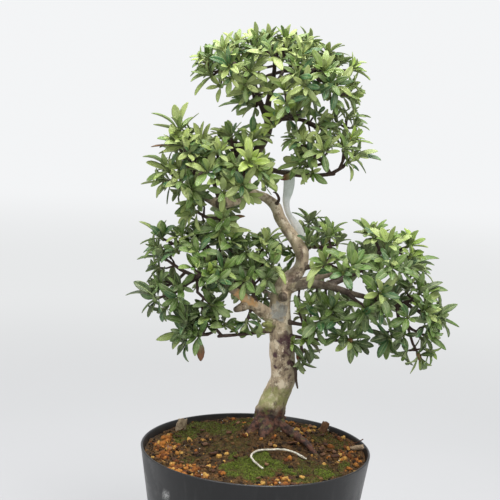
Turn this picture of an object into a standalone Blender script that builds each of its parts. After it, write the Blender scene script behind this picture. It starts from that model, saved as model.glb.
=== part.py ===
"""Satsuki azalea bonsai in its plastic growing pot, about 0.43 m tall, as solids.

Units are metres and +Z is up. The origin is the middle of the pot's flat foot, and the front is -Y.
The tree is set out in millimetres, as a grower sketches it from the front: how far across, how high
and how far back a point is. What is further back looks smaller from the sketcher's eye, so sketch()
spreads a point away from the eye to find its true place.
"""
import math
import random

import bmesh
import bpy
from mathutils import Euler, Matrix, Vector, geometry, noise
from mathutils.bvhtree import BVHTree

MM = 0.001
GAP = 0.0003                    # room between two pieces that touch
SKETCH_EYE = Vector((-0.011, -0.750, 0.373))

# Growing pot
TURN_STEPS = 36                 # flats round the pot and the soil
POT_HEIGHT = 0.130
POT_TOP_RADIUS = 0.0838
POT_FOOT_RADIUS = 0.0640
POT_WALL = 0.0018
POT_FLOOR = 0.0020
FOOT_RECESS = 0.0012            # how far the ring with the drain holes is raised
FOOT_PAD_RADIUS = 0.026         # flat middle of the foot
FOOT_RING_RADIUS = 0.052        # inside of the outer ring that the pot stands on
DRAIN_HOLES = 8
DRAIN_HOLE_RADIUS = 0.0040
DRAIN_RING_RADIUS = 0.039

# Soil
SOIL_EDGE_HEIGHT = 0.1245
SOIL_MOUND = 0.0125             # how far it is heaped up round the trunk
SOIL_MOUND_WIDTH = 0.046
SOIL_LUMP = 0.0009
SOIL_RINGS = (0.0, 0.22, 0.44, 0.64, 0.84)
TRUNK_FOOT = Vector((0.0090, 0.0180, 0.0))
BARK_LUMP = 0.0005
STEM_SIDES = 10
THICK_BRANCH = 3.0              # mm; branches from here up have eight sides

# Leaves
LEAF_LENGTH = 0.0185
LEAF_WIDTH_SHARE = 0.36         # of its length
LEAF_WIDEST = 0.0082
LEAF_THICKNESS = 0.0008
LEAF_CLEARANCE = 0.00035
LEAF_SECTIONS = ((0.17, 0.34), (0.62, 1.0))     # place along the leaf, and share of its width
LEAF_ARCH = 0.07                # how far it is bowed up, of its length
LEAF_FOLD = 0.22                # how far its edges are raised, of its half width
SKETCHED_CLOSEST = 0.86         # cosine of the least angle between two leaves of a whorl
RULED_CLOSEST = 0.70
TWIG_CLOSEST = 0.75             # and between a leaf and the twig that it grows from
BUD_RADIUS = 0.0015
TWIG_CORNERS = 1.15             # corners of a three-sided twig, of its radius
TWIG_ROOT = 0.4                 # and at its root, inside the wood that it grows from
BUD_SPINS = 12                  # ways tried to turn a bud toward its leaves
BUD_SIDES = ((1, 1, 1), (1, 1, -1), (1, -1, 1), (-1, 1, 1), (1, -1, -1), (-1, 1, -1), (-1, -1, 1),
             (-1, -1, -1))
LEAVES_IN_WHORL = 8
OLD_SPREAD = 82.0               # degrees between a whorl's axis and its oldest leaf
SPREAD_LOSS = 46.0              # how much less the youngest leaf spreads
YOUNG_LIFT = 14.0               # and how much less every leaf does in a young whorl
SPREAD_PLAY = 9.0
AGE_LOSS = 0.32                 # share of its length that the youngest leaf lacks
YOUNG_LOSS = 0.15
LENGTH_PLAY = (0.85, 1.12)
WIDTH_PLAY = (0.9, 1.15)
TURN_PLAY = 0.25                # radians
LEAST_WIDTH = 0.0048
NEAR_FULL = 0.9                 # a sketched leaf shorter than this share of a whole one is foreshortened
FORESHORTENING = 0.8            # and this share of what it lacks points toward the front or the back
FRONT_AXIS = 0.3                # whorls whose axis points back by less than this point to the front
SOLID_LEAVES = 4                # leaves of a whorl that are solids here, where fewer are sketched
FILL_SPACING = 0.0125           # least room between two whorls that are placed by rule
FILL_TRIES = 400
FILL_BACK = 0.1                 # least way back of a ruled whorl in a spray that the sketch shows
TWIG_RADIUS = 0.0009
TWIG_THICKEST = 0.0016
TWIG_STEP = 0.012
TWIG_SUNK = 0.0020              # how far a twig starts inside the wood that it grows from
STEM_LENGTH = 0.0034
TWIG_STARTS = 4                 # places on standing wood that are tried for a new twig
RUN_COST = 0.35                 # how much the way back to the branch counts against a start
ROOT_BOW = 0.16                 # a twig's bow, of its span
SAG = 0.10
WIDER_BOWS = (0.15, 0.30)       # bows tried all round where the first ones meet something
BOW_TURNS = 6
GOLDEN_TURN = math.radians(137.5)

# The trunk from its foot to the top: across, up, back, radius
TRUNK = (
    (8.0, 134.0, 18.0, 12.0), (8.3, 146.0, 18.0, 11.6), (8.8, 154.0, 18.0, 10.2), (10.7, 162.0, 17.0, 9.4),
    (14.2, 172.0, 16.0, 8.8), (17.6, 181.0, 14.0, 8.4), (17.2, 191.0, 13.0, 8.5), (15.8, 201.0, 12.0, 8.8),
    (14.8, 211.0, 11.0, 8.3), (13.4, 220.0, 10.0, 7.9), (12.6, 230.0, 9.0, 7.2), (12.6, 242.0, 8.0, 6.9),
    (15.8, 251.5, 6.0, 6.2), (22.8, 259.0, 4.0, 5.1), (26.4, 266.0, 3.0, 4.6), (26.2, 274.0, 2.0, 4.6),
    (21.6, 282.0, 2.0, 4.5), (15.4, 289.5, 3.0, 4.3), (9.4, 298.0, 5.0, 4.1), (5.4, 306.5, 8.0, 3.9),
    (-1.6, 312.2, 11.0, 3.4), (-9.6, 314.6, 13.0, 3.2), (-15.4, 321.0, 14.0, 3.2), (-15.0, 332.0, 13.0, 3.2),
    (-8.8, 346.0, 10.0, 3.3), (-3.2, 357.0, 8.0, 3.3), (-2.4, 366.0, 7.0, 3.2), (-3.2, 378.0, 7.0, 2.3),
    (-1.4, 390.0, 8.0, 2.0), (-0.2, 401.0, 7.0, 1.6), (-0.2, 408.0, 6.0, 1.4),
)

# Surface roots that run out from the trunk's foot and down into the soil
ROOTS = (
    ((12.0, 150.0, 16.0, 6.0), (20.0, 144.5, 11.0, 4.0), (30.0, 138.5, 2.0, 2.8), (38.5, 132.5, -7.0, 2.2),
     (45.0, 124.0, -12.0, 2.0)),
    ((6.0, 150.0, 16.0, 6.0), (-1.0, 143.5, 12.0, 4.2), (-6.5, 136.0, 8.0, 3.0), (-10.0, 126.0, 5.0, 2.4)),
    ((8.0, 150.0, 14.0, 6.4), (7.0, 142.0, 6.0, 4.8), (5.0, 135.0, 0.0, 3.2), (4.0, 125.0, -4.0, 2.4)),
    ((11.0, 150.0, 20.0, 6.2), (17.0, 143.5, 28.0, 4.4), (22.0, 136.0, 36.0, 3.2), (26.0, 126.0, 42.0, 2.4)),
    ((5.0, 149.0, 22.0, 6.0), (-1.0, 142.5, 29.0, 4.2), (-6.0, 135.0, 36.0, 3.0), (-9.0, 126.0, 41.0, 2.4)),
)

# Main branches and cut stubs, each from inside the wood it grows from to its end
BRANCHES = {
    "low_left": ((11.0, 225.0, 8.0, 5.4), (3.0, 228.5, 3.0, 5.0), (-5.5, 234.0, -2.0, 4.4),
                 (-13.0, 239.0, -6.0, 3.6), (-20.0, 243.5, -10.0, 2.9), (-34.0, 249.0, -12.0, 1.8),
                 (-46.0, 252.0, -10.0, 1.5)),
    "low_left_stub": ((-8.0, 236.0, -3.0, 3.4), (-14.0, 233.0, -7.0, 3.4), (-19.0, 230.5, -10.0, 2.2)),
    "low_left_top": ((-14.0, 239.5, -6.0, 2.4), (-19.0, 250.0, -5.0, 1.9), (-27.0, 261.0, -3.0, 1.6),
                     (-33.0, 267.0, -1.0, 1.4)),
    "low_left_near": ((-4.0, 234.0, -2.0, 2.2), (-7.0, 243.0, -6.0, 1.6), (-7.5, 252.0, -7.0, 1.4),
                      (-7.0, 259.0, -6.0, 1.3)),
    "low_left_under": ((-7.0, 234.5, -3.0, 2.0), (-8.5, 230.0, -4.5, 1.3), (-9.5, 226.5, -6.0, 1.2)),
    "thin_left": ((12.0, 218.0, 9.0, 2.4), (3.0, 216.0, 2.0, 2.2), (-8.0, 213.7, -4.0, 1.5),
                  (-18.0, 212.0, -9.0, 1.3), (-27.0, 210.8, -13.0, 1.3)),
    "cut_stub": ((10.0, 220.0, 6.0, 2.6), (4.5, 220.5, 1.0, 2.4), (1.5, 220.5, -1.0, 1.8)),
    "low_back": ((12.0, 235.0, 12.0, 3.4), (8.0, 240.0, 31.0, 2.6), (-1.0, 246.0, 54.0, 1.8)),
    "front_scar": ((14.0, 241.0, 6.0, 4.4), (14.6, 241.3, -1.0, 3.8), (14.8, 241.3, -2.4, 2.8)),
    "right_main": ((13.0, 245.0, 7.0, 4.4), (24.0, 250.0, 1.0, 3.7), (36.0, 252.0, -3.0, 3.1),
                   (50.0, 250.0, -6.0, 2.7), (63.0, 246.5, -8.0, 2.2), (80.0, 243.0, -9.0, 1.7),
                   (95.0, 240.0, -8.0, 1.5)),
    "right_top": ((46.0, 251.0, -5.0, 2.4), (58.0, 257.0, -1.0, 1.9), (71.0, 264.5, 2.0, 1.6),
                  (79.0, 269.0, 3.0, 1.4)),
    "right_heart": ((60.0, 247.0, -8.0, 1.8), (66.0, 242.0, -12.0, 1.4), (70.0, 239.5, -14.0, 1.3)),
    "right_inner": ((24.0, 262.0, 3.0, 2.4), (34.0, 264.5, -1.0, 1.8), (43.0, 265.5, -5.0, 1.5)),
    "right_shoot": ((16.0, 224.0, 7.0, 2.2), (28.0, 222.0, 1.0, 1.4), (40.0, 222.4, -5.0, 1.3),
                    (47.0, 223.5, -8.0, 1.3)),
    "thin_right": ((18.0, 213.5, 8.0, 2.0), (29.0, 212.4, 0.0, 1.3), (40.0, 211.5, -7.0, 1.2),
                   (50.0, 211.3, -11.0, 1.2)),
    "side_shoot": ((18.0, 209.0, 7.0, 1.9), (24.5, 208.6, 2.0, 1.3), (28.0, 208.6, -1.0, 1.2)),
    "right_back": ((14.0, 247.0, 10.0, 3.6), (28.0, 254.0, 22.0, 2.8), (46.0, 259.0, 38.0, 2.1),
                   (59.0, 262.0, 48.0, 1.6)),
    "high_back": ((24.0, 264.0, 6.0, 2.6), (28.0, 270.0, 25.0, 1.9), (30.0, 277.0, 44.0, 1.5)),
    "mid_left": ((-8.0, 314.6, 13.0, 3.0), (-19.0, 310.2, 8.0, 3.0), (-31.0, 307.0, 2.0, 3.8),
                 (-36.0, 307.0, 0.0, 3.6), (-43.0, 309.4, -1.0, 2.4), (-51.0, 312.6, -2.0, 1.8)),
    "mid_low": ((-33.0, 306.0, 1.0, 2.6), (-33.0, 301.5, -2.0, 1.6), (-33.0, 297.5, -4.5, 1.4)),
    "mid_upper": ((-15.0, 330.0, 13.0, 2.6), (-20.0, 335.5, 6.0, 1.9), (-24.0, 340.0, -1.0, 1.6)),
    "mid_inner": ((-32.0, 307.5, 2.0, 2.4), (-36.5, 314.0, -1.0, 1.7), (-38.5, 320.0, -4.0, 1.5)),
    "mid_back": ((-15.0, 325.0, 14.0, 2.6), (-21.0, 329.0, 32.0, 1.9), (-26.0, 332.0, 50.0, 1.5)),
    "crown_low": ((-14.0, 334.0, 12.0, 2.6), (-3.0, 333.0, 11.0, 2.1), (9.0, 330.8, 7.0, 1.9),
                  (22.0, 329.6, 2.0, 1.8), (33.0, 329.8, -1.0, 1.6), (42.0, 331.0, -3.0, 1.4)),
    "crown_shoot": ((-2.4, 361.0, 7.5, 2.2), (4.0, 367.0, 5.0, 1.5), (12.0, 368.6, 1.0, 1.3)),
    "crown_left": ((-3.2, 367.0, 7.0, 2.6), (-9.0, 379.5, 5.0, 2.0), (-12.4, 388.0, 4.0, 1.8),
                   (-16.0, 397.0, 3.0, 1.6), (-23.0, 402.6, 2.0, 1.4)),
    "crown_right": ((-1.6, 389.0, 8.0, 1.9), (7.0, 397.0, 4.0, 1.6), (18.0, 401.5, 0.0, 1.4),
                    (26.0, 403.0, -2.0, 1.3)),
    "crown_back": ((-1.8, 387.0, 8.0, 1.9), (3.0, 395.0, 22.0, 1.5), (6.0, 401.0, 36.0, 1.3)),
    "arch_snag": ((5.2, 306.0, 7.0, 1.4), (7.8, 311.6, 2.5, 1.2), (5.6, 315.8, 1.2, 0.9),
                  (3.6, 316.4, 1.0, 0.7)),
    "side_snag": ((22.0, 194.0, 8.0, 1.9), (26.0, 189.0, 4.0, 1.3), (27.0, 181.0, 3.0, 1.1),
                  (28.6, 174.5, 2.5, 0.8)),
}

# The leafy sprays. Each grows from the end of one branch, or of the trunk. Its heart is the place that
# its whorls point away from, and lift turns them upwards. A whorl is across, up, back and youth, from 0
# for dark old leaves to 1 for pale new ones, then the leaf tips that the sketch shows: across, up and
# how much of the leaf's width the front sees. Fill places more whorls by rule round the heart: their
# number, and how far they reach across, back and up.
SPRAYS = {
    "spray_crown_top": dict(branch="trunk", heart=(2.0, 404.0, 4.0), lift=0.7,
        fill=(1, 22.0, 26.0, 15.0), whorls=(
        ((-13.8, 419.9, -4.0, 0.3), ((-15.5, 434.8, 0.8), (-18.0, 429.1, 0.7))),
        ((-6.2, 420.3, 3.0, 0.2), ((-6.4, 434.0, 0.9), (-9.6, 428.1, 0.5), (-1.6, 428.0, 0.6))),
        ((7.2, 419.5, -5.0, 0.5), ((9.7, 434.2, 0.8), (2.8, 433.1, 0.6), (6.1, 431.0, 0.9),
                                   (22.1, 427.8, 0.6))),
        ((21.1, 420.2, 5.0, 0.3), ((26.6, 426.1, 0.7),)),
        ((-2.3, 412.0, -20.0, 0.1), ()),
        ((18.1, 413.0, -15.0, 0.2), ()),
    )),
    "spray_crown_left": dict(branch="crown_left", heart=(-27.0, 401.0, 3.0), lift=0.5,
        fill=(1, 20.0, 24.0, 13.0), whorls=(
        ((-26.7, 416.4, -6.0, 0.2), ((-28.9, 426.6, 0.9), (-20.1, 424.3, 0.4), (-33.1, 423.2, 0.5))),
        ((-35.9, 412.2, -10.0, 0.2), ()),
        ((-47.5, 404.7, -2.0, 0.6), ((-49.1, 418.1, 0.9), (-60.0, 408.0, 0.3), (-57.7, 400.9, 0.4))),
        ((-43.4, 395.9, -9.0, 0.2), ((-58.5, 398.1, 0.5), (-58.5, 391.0, 0.5), (-33.9, 391.8, 0.5))),
        ((-31.5, 402.6, -22.0, 0.1), ()),
        ((-17.4, 400.0, -19.0, 0.0), ()),
    )),
    "spray_crown_right": dict(branch="crown_right", heart=(33.0, 399.0, 0.0), lift=0.5,
        fill=(1, 20.0, 26.0, 13.0), whorls=(
        ((36.3, 414.0, 2.0, 0.2), ((37.7, 423.4, 0.9), (46.1, 414.5, 0.4))),
        ((34.6, 402.7, -24.0, 0.2), ((33.7, 411.5, 0.9),)),
        ((52.1, 404.5, -4.0, 0.8), ((64.4, 410.2, 0.3), (62.9, 404.1, 0.6), (52.3, 411.7, 0.7))),
        ((43.4, 393.7, -16.0, 0.1), ((28.0, 390.5, 0.5),)),
        ((53.0, 386.8, -4.0, 0.7), ((58.1, 377.7, 0.6),)),
        ((17.0, 399.0, -23.0, 0.1), ()),
        ((28.0, 386.6, -18.0, 0.0), ((12.0, 384.5, 0.6),)),
    )),
    "spray_crown_back": dict(branch="crown_back", heart=(4.0, 401.0, 31.0), lift=0.5,
        fill=(5, 36.0, 26.0, 20.0), whorls=()),
    "spray_crown_middle": dict(branch="crown_shoot", heart=(14.0, 372.0, 2.0), lift=0.5,
        fill=(1, 16.0, 22.0, 10.0), whorls=(
        ((6.3, 370.4, -14.0, 0.9), ((-1.0, 366.8, 0.9), (3.2, 376.8, 0.7), (10.6, 379.0, 0.6))),
        ((8.3, 386.9, -22.0, 0.3), ()),
        ((31.7, 365.2, -12.0, 0.0), ()),
        ((40.2, 363.8, 2.0, 0.2), ()),
    )),
    "spray_crown_low": dict(branch="crown_low", heart=(40.0, 344.0, 0.0), lift=0.4,
        fill=(2, 20.0, 28.0, 15.0), whorls=(
        ((52.4, 369.9, 3.0, 0.1), ((66.0, 372.5, 0.4), (67.5, 367.7, 0.5))),
        ((55.0, 354.6, -9.0, 0.9), ((63.9, 363.9, 0.8), (72.3, 354.1, 0.4))),
        ((57.8, 344.9, -1.0, 0.2), ((76.1, 349.1, 0.7), (78.7, 342.7, 0.5), (65.6, 338.4, 0.4))),
        ((37.3, 346.7, -18.0, 0.0), ()),
        ((20.0, 356.0, -10.0, 0.2), ((8.0, 345.4, 0.5), (11.6, 366.9, 0.6))),
        ((24.7, 337.7, -12.0, 0.1), ((5.4, 332.5, 0.7),)),
    )),
    "spray_crown_twig": dict(branch="crown_left_twig", heart=(-6.0, 378.0, 4.0), lift=0.1,
        fill=None, whorls=(
        ((-12.6, 376.6, 1.0, 0.0), ((-29.6, 381.3, 0.5), (-38.4, 374.5, 0.4), (-29.0, 371.5, 0.4),
                                    (-10.9, 369.1, 0.8))),
        ((-14.4, 386.4, -10.0, 0.0), ((-24.4, 386.8, 0.8),)),
    )),
    "spray_mid_tip": dict(branch="mid_left", heart=(-61.0, 330.0, 3.0), lift=0.5,
        fill=(2, 18.0, 26.0, 18.0), whorls=(
        ((-64.7, 356.6, -4.0, 0.3), ((-69.2, 374.9, 1.0), (-59.4, 377.0, 0.6), (-85.3, 367.9, 0.15),
                                     (-83.7, 360.1, 0.2), (-51.4, 369.9, 0.15), (-63.8, 367.5, 0.8))),
        ((-48.8, 344.1, -6.0, 0.3), ((-55.2, 362.8, 0.7), (-48.0, 364.4, 0.4), (-43.3, 362.9, 0.5),
                                     (-59.3, 355.0, 0.6))),
        ((-60.9, 345.7, -13.0, 0.3), ((-84.9, 344.2, 0.2), (-76.1, 341.0, 0.8))),
        ((-70.4, 327.3, -7.0, 0.3), ((-87.7, 333.4, 0.7), (-90.5, 337.0, 0.15), (-64.7, 341.5, 0.6))),
        ((-69.5, 320.6, 3.0, 0.1), ((-91.0, 317.5, 0.15),)),
        ((-54.7, 315.5, -16.0, 0.1), ((-75.6, 318.1, 0.8), (-58.6, 330.4, 0.9))),
    )),
    "spray_mid_low": dict(branch="mid_low", heart=(-35.0, 300.0, 2.0), lift=-0.1,
        fill=(1, 14.0, 22.0, 10.0), whorls=(
        ((-50.2, 299.8, -10.0, 0.2), ((-64.5, 295.9, 0.8), (-66.1, 304.7, 0.5))),
        ((-33.0, 288.6, -16.0, 0.4), ((-52.6, 284.5, 0.8), (-15.4, 298.4, 0.6), (-10.5, 288.1, 0.6),
                                      (-43.2, 295.1, 1.0), (-30.7, 272.8, 0.9), (-46.2, 274.5, 0.8),
                                      (-23.0, 304.0, 0.5))),
    )),
    "spray_mid_inner": dict(branch="mid_inner", heart=(-40.0, 318.0, 6.0), lift=0.4,
        fill=None, whorls=(
        ((-43.4, 328.3, -22.0, 0.2), ((-47.6, 338.0, 0.7),)),
        ((-37.1, 341.8, -19.0, 0.3), ((-41.0, 350.6, 0.7),)),
        ((-28.0, 321.0, -18.0, 0.0), ()),
    )),
    "spray_mid_right": dict(branch="mid_upper", heart=(-21.0, 336.0, 4.0), lift=0.5,
        fill=(1, 18.0, 26.0, 14.0), whorls=(
        ((-14.8, 336.3, -26.0, 0.8), ((-15.8, 346.7, 1.0), (-24.4, 345.7, 0.7), (-4.7, 343.7, 0.5))),
        ((-28.1, 354.0, -4.0, 0.2), ((-33.3, 364.6, 0.8), (-43.4, 358.7, 0.4), (-46.0, 353.4, 0.3),
                                     (-24.7, 364.0, 0.5))),
        ((-13.0, 353.5, -8.0, 0.6), ((-13.7, 369.6, 0.95),)),
        ((-18.8, 320.9, -24.0, 0.0), ()),
        ((-5.5, 326.9, -15.0, 0.4), ((4.0, 321.0, 0.6),)),
    )),
    "spray_mid_back": dict(branch="mid_back", heart=(-34.0, 330.0, 43.0), lift=0.4,
        fill=(5, 34.0, 27.0, 18.0), whorls=()),
    "spray_low_far": dict(branch="low_left", heart=(-56.0, 250.0, -2.0), lift=0.3,
        fill=(1, 18.0, 26.0, 14.0), whorls=(
        ((-75.2, 236.3, -12.0, 0.2), ((-93.6, 247.2, 0.9), (-99.3, 236.8, 0.25), (-87.0, 224.3, 0.3),
                                      (-79.8, 253.8, 0.4))),
        ((-60.4, 237.9, -18.0, 0.0), ((-64.1, 255.0, 0.8), (-70.4, 252.2, 0.5))),
        ((-71.6, 265.0, -2.0, 0.1), ((-86.3, 275.0, 0.4), (-91.9, 263.3, 0.2), (-84.0, 258.8, 0.35))),
        ((-42.2, 254.9, -26.0, 0.5), ()),
        ((-37.4, 233.5, -19.0, 0.0), ((-27.8, 232.8, 0.6), (-50.6, 231.0, 0.7), (-41.7, 224.2, 0.6))),
    )),
    "spray_low_top": dict(branch="low_left_top", heart=(-44.0, 264.0, 3.0), lift=0.5,
        fill=(2, 26.0, 26.0, 16.0), whorls=(
        ((-74.0, 279.4, -1.0, 0.1), ((-91.2, 290.8, 0.25), (-83.2, 288.4, 0.9), (-75.5, 292.7, 0.6),
                                     (-65.4, 289.3, 0.7))),
        ((-59.0, 280.0, -8.0, 0.3), ((-59.0, 294.4, 0.7),)),
        ((-48.5, 269.7, -20.0, 0.1), ()),
        ((-25.8, 278.2, -12.0, 0.0), ((-17.0, 286.0, 0.6),)),
        ((-29.9, 258.2, -23.0, 0.2), ((-43.0, 262.0, 0.4),)),
    )),
    "spray_low_bottom": dict(branch="thin_left", heart=(-38.0, 212.0, -4.0), lift=0.05,
        fill=None, whorls=(
        ((-53.1, 218.6, -17.0, 0.0), ((-70.8, 222.6, 0.8), (-62.4, 230.4, 0.4), (-54.2, 233.6, 0.9))),
        ((-54.2, 211.9, -11.0, 0.1), ((-76.0, 205.2, 0.7), (-63.7, 198.7, 0.7))),
        ((-45.2, 210.0, -19.0, 0.1), ((-42.7, 191.1, 0.95),)),
        ((-35.5, 225.0, -13.0, 0.0), ((-46.6, 215.5, 0.7),)),
    )),
    "spray_low_near": dict(branch="low_left_near", heart=(-6.0, 260.0, 2.0), lift=0.4,
        fill=(1, 12.0, 20.0, 10.0), whorls=(
        ((0.5, 279.6, -4.0, 0.1), ((-2.4, 291.0, 0.8), (10.3, 291.4, 0.15), (-13.0, 284.3, 0.25))),
        ((-13.4, 273.7, -12.0, 0.1), ()),
        ((4.7, 263.3, -14.0, 0.1), ((-6.9, 254.1, 0.8),)),
        ((-13.3, 252.3, -19.0, 0.2), ((-25.0, 243.9, 0.8),)),
    )),
    "spray_low_under": dict(branch="low_left_under", heart=(-9.5, 232.0, 0.0), lift=-0.3,
        fill=None, whorls=(
        ((-11.0, 222.5, -8.0, 0.1), ((-18.6, 213.8, 0.6), (-1.8, 219.0, 0.5))),
    )),
    "spray_low_back": dict(branch="low_back", heart=(-20.0, 252.0, 43.0), lift=0.3,
        fill=(6, 40.0, 27.0, 20.0), whorls=()),
    "spray_right_inner": dict(branch="right_inner", heart=(48.0, 264.0, 0.0), lift=0.5,
        fill=(1, 18.0, 26.0, 14.0), whorls=(
        ((45.0, 285.2, -4.0, 0.5), ((40.8, 301.1, 0.8), (30.5, 292.8, 0.5), (57.9, 297.7, 0.12),
                                    (55.6, 292.4, 0.4))),
        ((30.2, 280.6, 2.0, 0.1), ((27.2, 293.4, 0.8), (21.9, 286.1, 0.3))),
        ((62.4, 265.1, -30.0, 0.3), ((60.2, 284.7, 1.0), (42.3, 276.9, 0.7), (79.1, 274.6, 0.6),
                                     (80.6, 264.2, 0.5), (60.5, 249.4, 0.9))),
        ((43.4, 266.8, -25.0, 0.2), ((31.2, 269.5, 0.8),)),
    )),
    "spray_right_top": dict(branch="right_top", heart=(88.0, 266.0, 4.0), lift=0.5,
        fill=(2, 24.0, 28.0, 14.0), whorls=(
        ((76.7, 288.2, 1.0, 0.2), ((60.6, 299.7, 0.6), (66.6, 301.4, 0.8), (86.7, 297.3, 0.5))),
        ((87.2, 281.8, -14.0, 0.3), ((91.9, 296.8, 0.5),)),
        ((101.5, 282.6, -5.0, 0.9), ((95.9, 293.6, 0.8), (108.6, 294.6, 0.8), (114.0, 288.4, 0.6),
                                     (111.7, 272.5, 0.8))),
        ((104.1, 268.1, 3.0, 0.0), ((124.9, 274.7, 0.4), (121.8, 269.7, 0.4))),
        ((91.0, 266.0, -24.0, 0.0), ()),
    )),
    "spray_right_outer": dict(branch="right_main", heart=(104.0, 234.0, 2.0), lift=0.2,
        fill=(2, 22.0, 28.0, 14.0), whorls=(
        ((111.9, 248.7, -8.0, 0.2), ((114.3, 264.4, 0.9), (128.6, 257.8, 0.6), (132.6, 251.8, 0.6),
                                     (95.4, 256.4, 0.5))),
        ((114.9, 235.6, -14.0, 0.2), ((128.9, 238.0, 0.9),)),
        ((125.0, 232.5, -5.0, 0.1), ((140.4, 242.4, 0.8), (142.8, 225.5, 0.3))),
        ((118.0, 218.2, -9.0, 0.1), ((128.0, 228.1, 0.9), (134.4, 208.3, 0.7), (130.9, 218.8, 0.5),
                                     (105.2, 220.3, 0.8))),
        ((114.7, 203.6, -8.0, 0.7), ((126.9, 203.7, 0.7), (116.9, 192.3, 0.4))),
        ((94.0, 216.2, -15.0, 0.0), ((78.8, 212.0, 0.9), (85.6, 199.9, 0.8), (106.8, 208.5, 0.6),
                                     (89.5, 229.9, 0.5))),
    )),
    "spray_right_heart": dict(branch="right_heart", heart=(72.0, 246.0, 0.0), lift=0.1,
        fill=None, whorls=(
        ((74.8, 235.1, -22.0, 0.1), ((74.8, 218.1, 1.0), (60.0, 239.0, 0.6))),
        ((83.4, 247.5, -28.0, 0.0), ((101.5, 237.8, 0.5), (80.5, 258.0, 0.8))),
    )),
    "spray_right_low": dict(branch="thin_right", heart=(60.0, 214.0, 0.0), lift=0.0,
        fill=None, whorls=(
        ((64.2, 212.1, -16.0, 0.0), ((44.4, 217.2, 0.7), (54.4, 203.2, 0.9), (64.8, 195.4, 0.9),
                                     (70.2, 199.6, 0.6), (79.3, 214.7, 0.6), (62.3, 229.4, 0.9))),
    )),
    "spray_right_near": dict(branch="right_shoot", heart=(44.0, 226.0, 2.0), lift=0.3,
        fill=None, whorls=(
        ((49.4, 233.8, -14.0, 0.2), ((36.6, 235.6, 0.6), (47.8, 244.3, 0.8), (59.0, 232.0, 0.8))),
        ((42.4, 226.4, -15.0, 0.0), ((47.2, 213.5, 0.6),)),
    )),
    "spray_right_side": dict(branch="side_shoot", heart=(26.0, 212.0, 4.0), lift=0.1,
        fill=None, whorls=(
        ((30.6, 212.1, -8.0, 0.4), ((38.3, 195.5, 0.6), (43.4, 201.2, 0.5), (37.6, 221.5, 0.7))),
        ((28.4, 196.0, 0.0, 0.3), ((34.2, 194.7, 0.6),)),
    )),
    "spray_right_back": dict(branch="right_back", heart=(76.0, 256.0, 41.0), lift=0.3,
        fill=(7, 46.0, 27.0, 22.0), whorls=()),
    "spray_high_back": dict(branch="high_back", heart=(30.0, 284.0, 46.0), lift=0.4,
        fill=(3, 24.0, 20.0, 14.0), whorls=()),
}
TWIG_BRANCH = ((-9.0, 380.0, 4.5, 1.6), (-9.8, 378.8, 3.2, 1.1))

# Chips of bark and grains of baked clay in the soil: across, forward of the middle, size and turn
CHIPS = (
    ((-57.0, 36.0, 0.0), (4.6, 1.6, 12.0), (8.0, 10.0, 20.0)),
    ((55.0, 44.0, 0.0), (4.4, 2.0, 13.0), (-10.0, 12.0, -30.0)),
    ((73.0, 10.0, 3.6), (4.0, 2.2, 11.0), (0.0, 74.0, -12.0)),
)
GRAINS = 14
GRAIN_RADIUS = 0.0026

# The pale loop of dry root, and the blank tag tied behind the trunk
LOOP = ((5.0, -44.0, 0.4), (-1.0, -38.0, 2.4), (-3.0, -31.0, 3.4), (2.0, -24.0, 3.0), (12.0, -21.0, 2.6),
        (24.0, -20.0, 2.4), (36.0, -25.0, 0.6))
LOOP_RADIUS = 0.0007
TAG = ((13.6, 333.0, 9.4, 8.0), (14.4, 324.0, 9.6, 8.0), (14.0, 317.0, 10.2, 7.0), (13.0, 310.0, 10.5, 5.0),
       (15.0, 302.0, 10.0, 4.4), (21.0, 294.0, 9.5, 7.4), (24.6, 286.0, 8.6, 7.4))
TAG_THICKNESS = 0.0007


def clear_scene():
    """Remove what the file opened with."""
    for thing in list(bpy.data.objects):
        bpy.data.objects.remove(thing, do_unlink=True)


def new_collection(name):
    """A collection in the scene."""
    group = bpy.data.collections.new(name)
    bpy.context.scene.collection.children.link(group)
    return group


def new_material(name, colour, roughness):
    """A plain finish with one colour."""
    material = bpy.data.materials.new(name)
    material.use_nodes = True
    shader = material.node_tree.nodes["Principled BSDF"]
    shader.inputs["Base Color"].default_value = (*colour, 1.0)
    shader.inputs["Roughness"].default_value = roughness
    shader.inputs["Metallic"].default_value = 0.0
    material.diffuse_color = (*colour, 1.0)
    return material


def add_object(name, mesh, group):
    """An object for a mesh, in a collection."""
    thing = bpy.data.objects.new(name, mesh)
    group.objects.link(thing)
    return thing


def sketch(across, up, back):
    """The true place of a point that is sketched from the front, in metres."""
    flat = Vector((across * MM, 0.0, up * MM))
    reach = 1.0 - back * MM / SKETCH_EYE.y
    return SKETCH_EYE + (flat - SKETCH_EYE) * reach


def smooth_path(points, steps=1):
    """A Catmull-Rom curve through sketched points, as (place, radius) pairs."""
    knots = [(*sketch(*point[:3]), point[3] * MM) for point in points]
    knots = [Vector(knot) for knot in knots]
    ends = [knots[0] * 2 - knots[1]] + knots + [knots[-1] * 2 - knots[-2]]
    path = []
    for k in range(1, len(ends) - 2):
        before, start, end, after = ends[k - 1:k + 3]
        for step in range(steps):
            t = step / steps
            bend = (end - before) * t + (before * 2 - start * 5 + end * 4 - after) * t * t
            bend += (start * 3 - before - end * 3 + after) * t ** 3
            path.append(start + bend / 2)
    path.append(knots[-1])
    return [(Vector(knot[:3]), knot[3]) for knot in path]


def evaluated_mesh(thing):
    """The mesh of an object as the viewport shows it."""
    depsgraph = bpy.context.evaluated_depsgraph_get()
    return bpy.data.meshes.new_from_object(thing.evaluated_get(depsgraph))


def weld(mesh, distance=1e-6):
    """Join points that lie on each other."""
    bm = bmesh.new()
    bm.from_mesh(mesh)
    bmesh.ops.remove_doubles(bm, verts=bm.verts, dist=distance)
    bm.to_mesh(mesh)
    bm.free()


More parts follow.
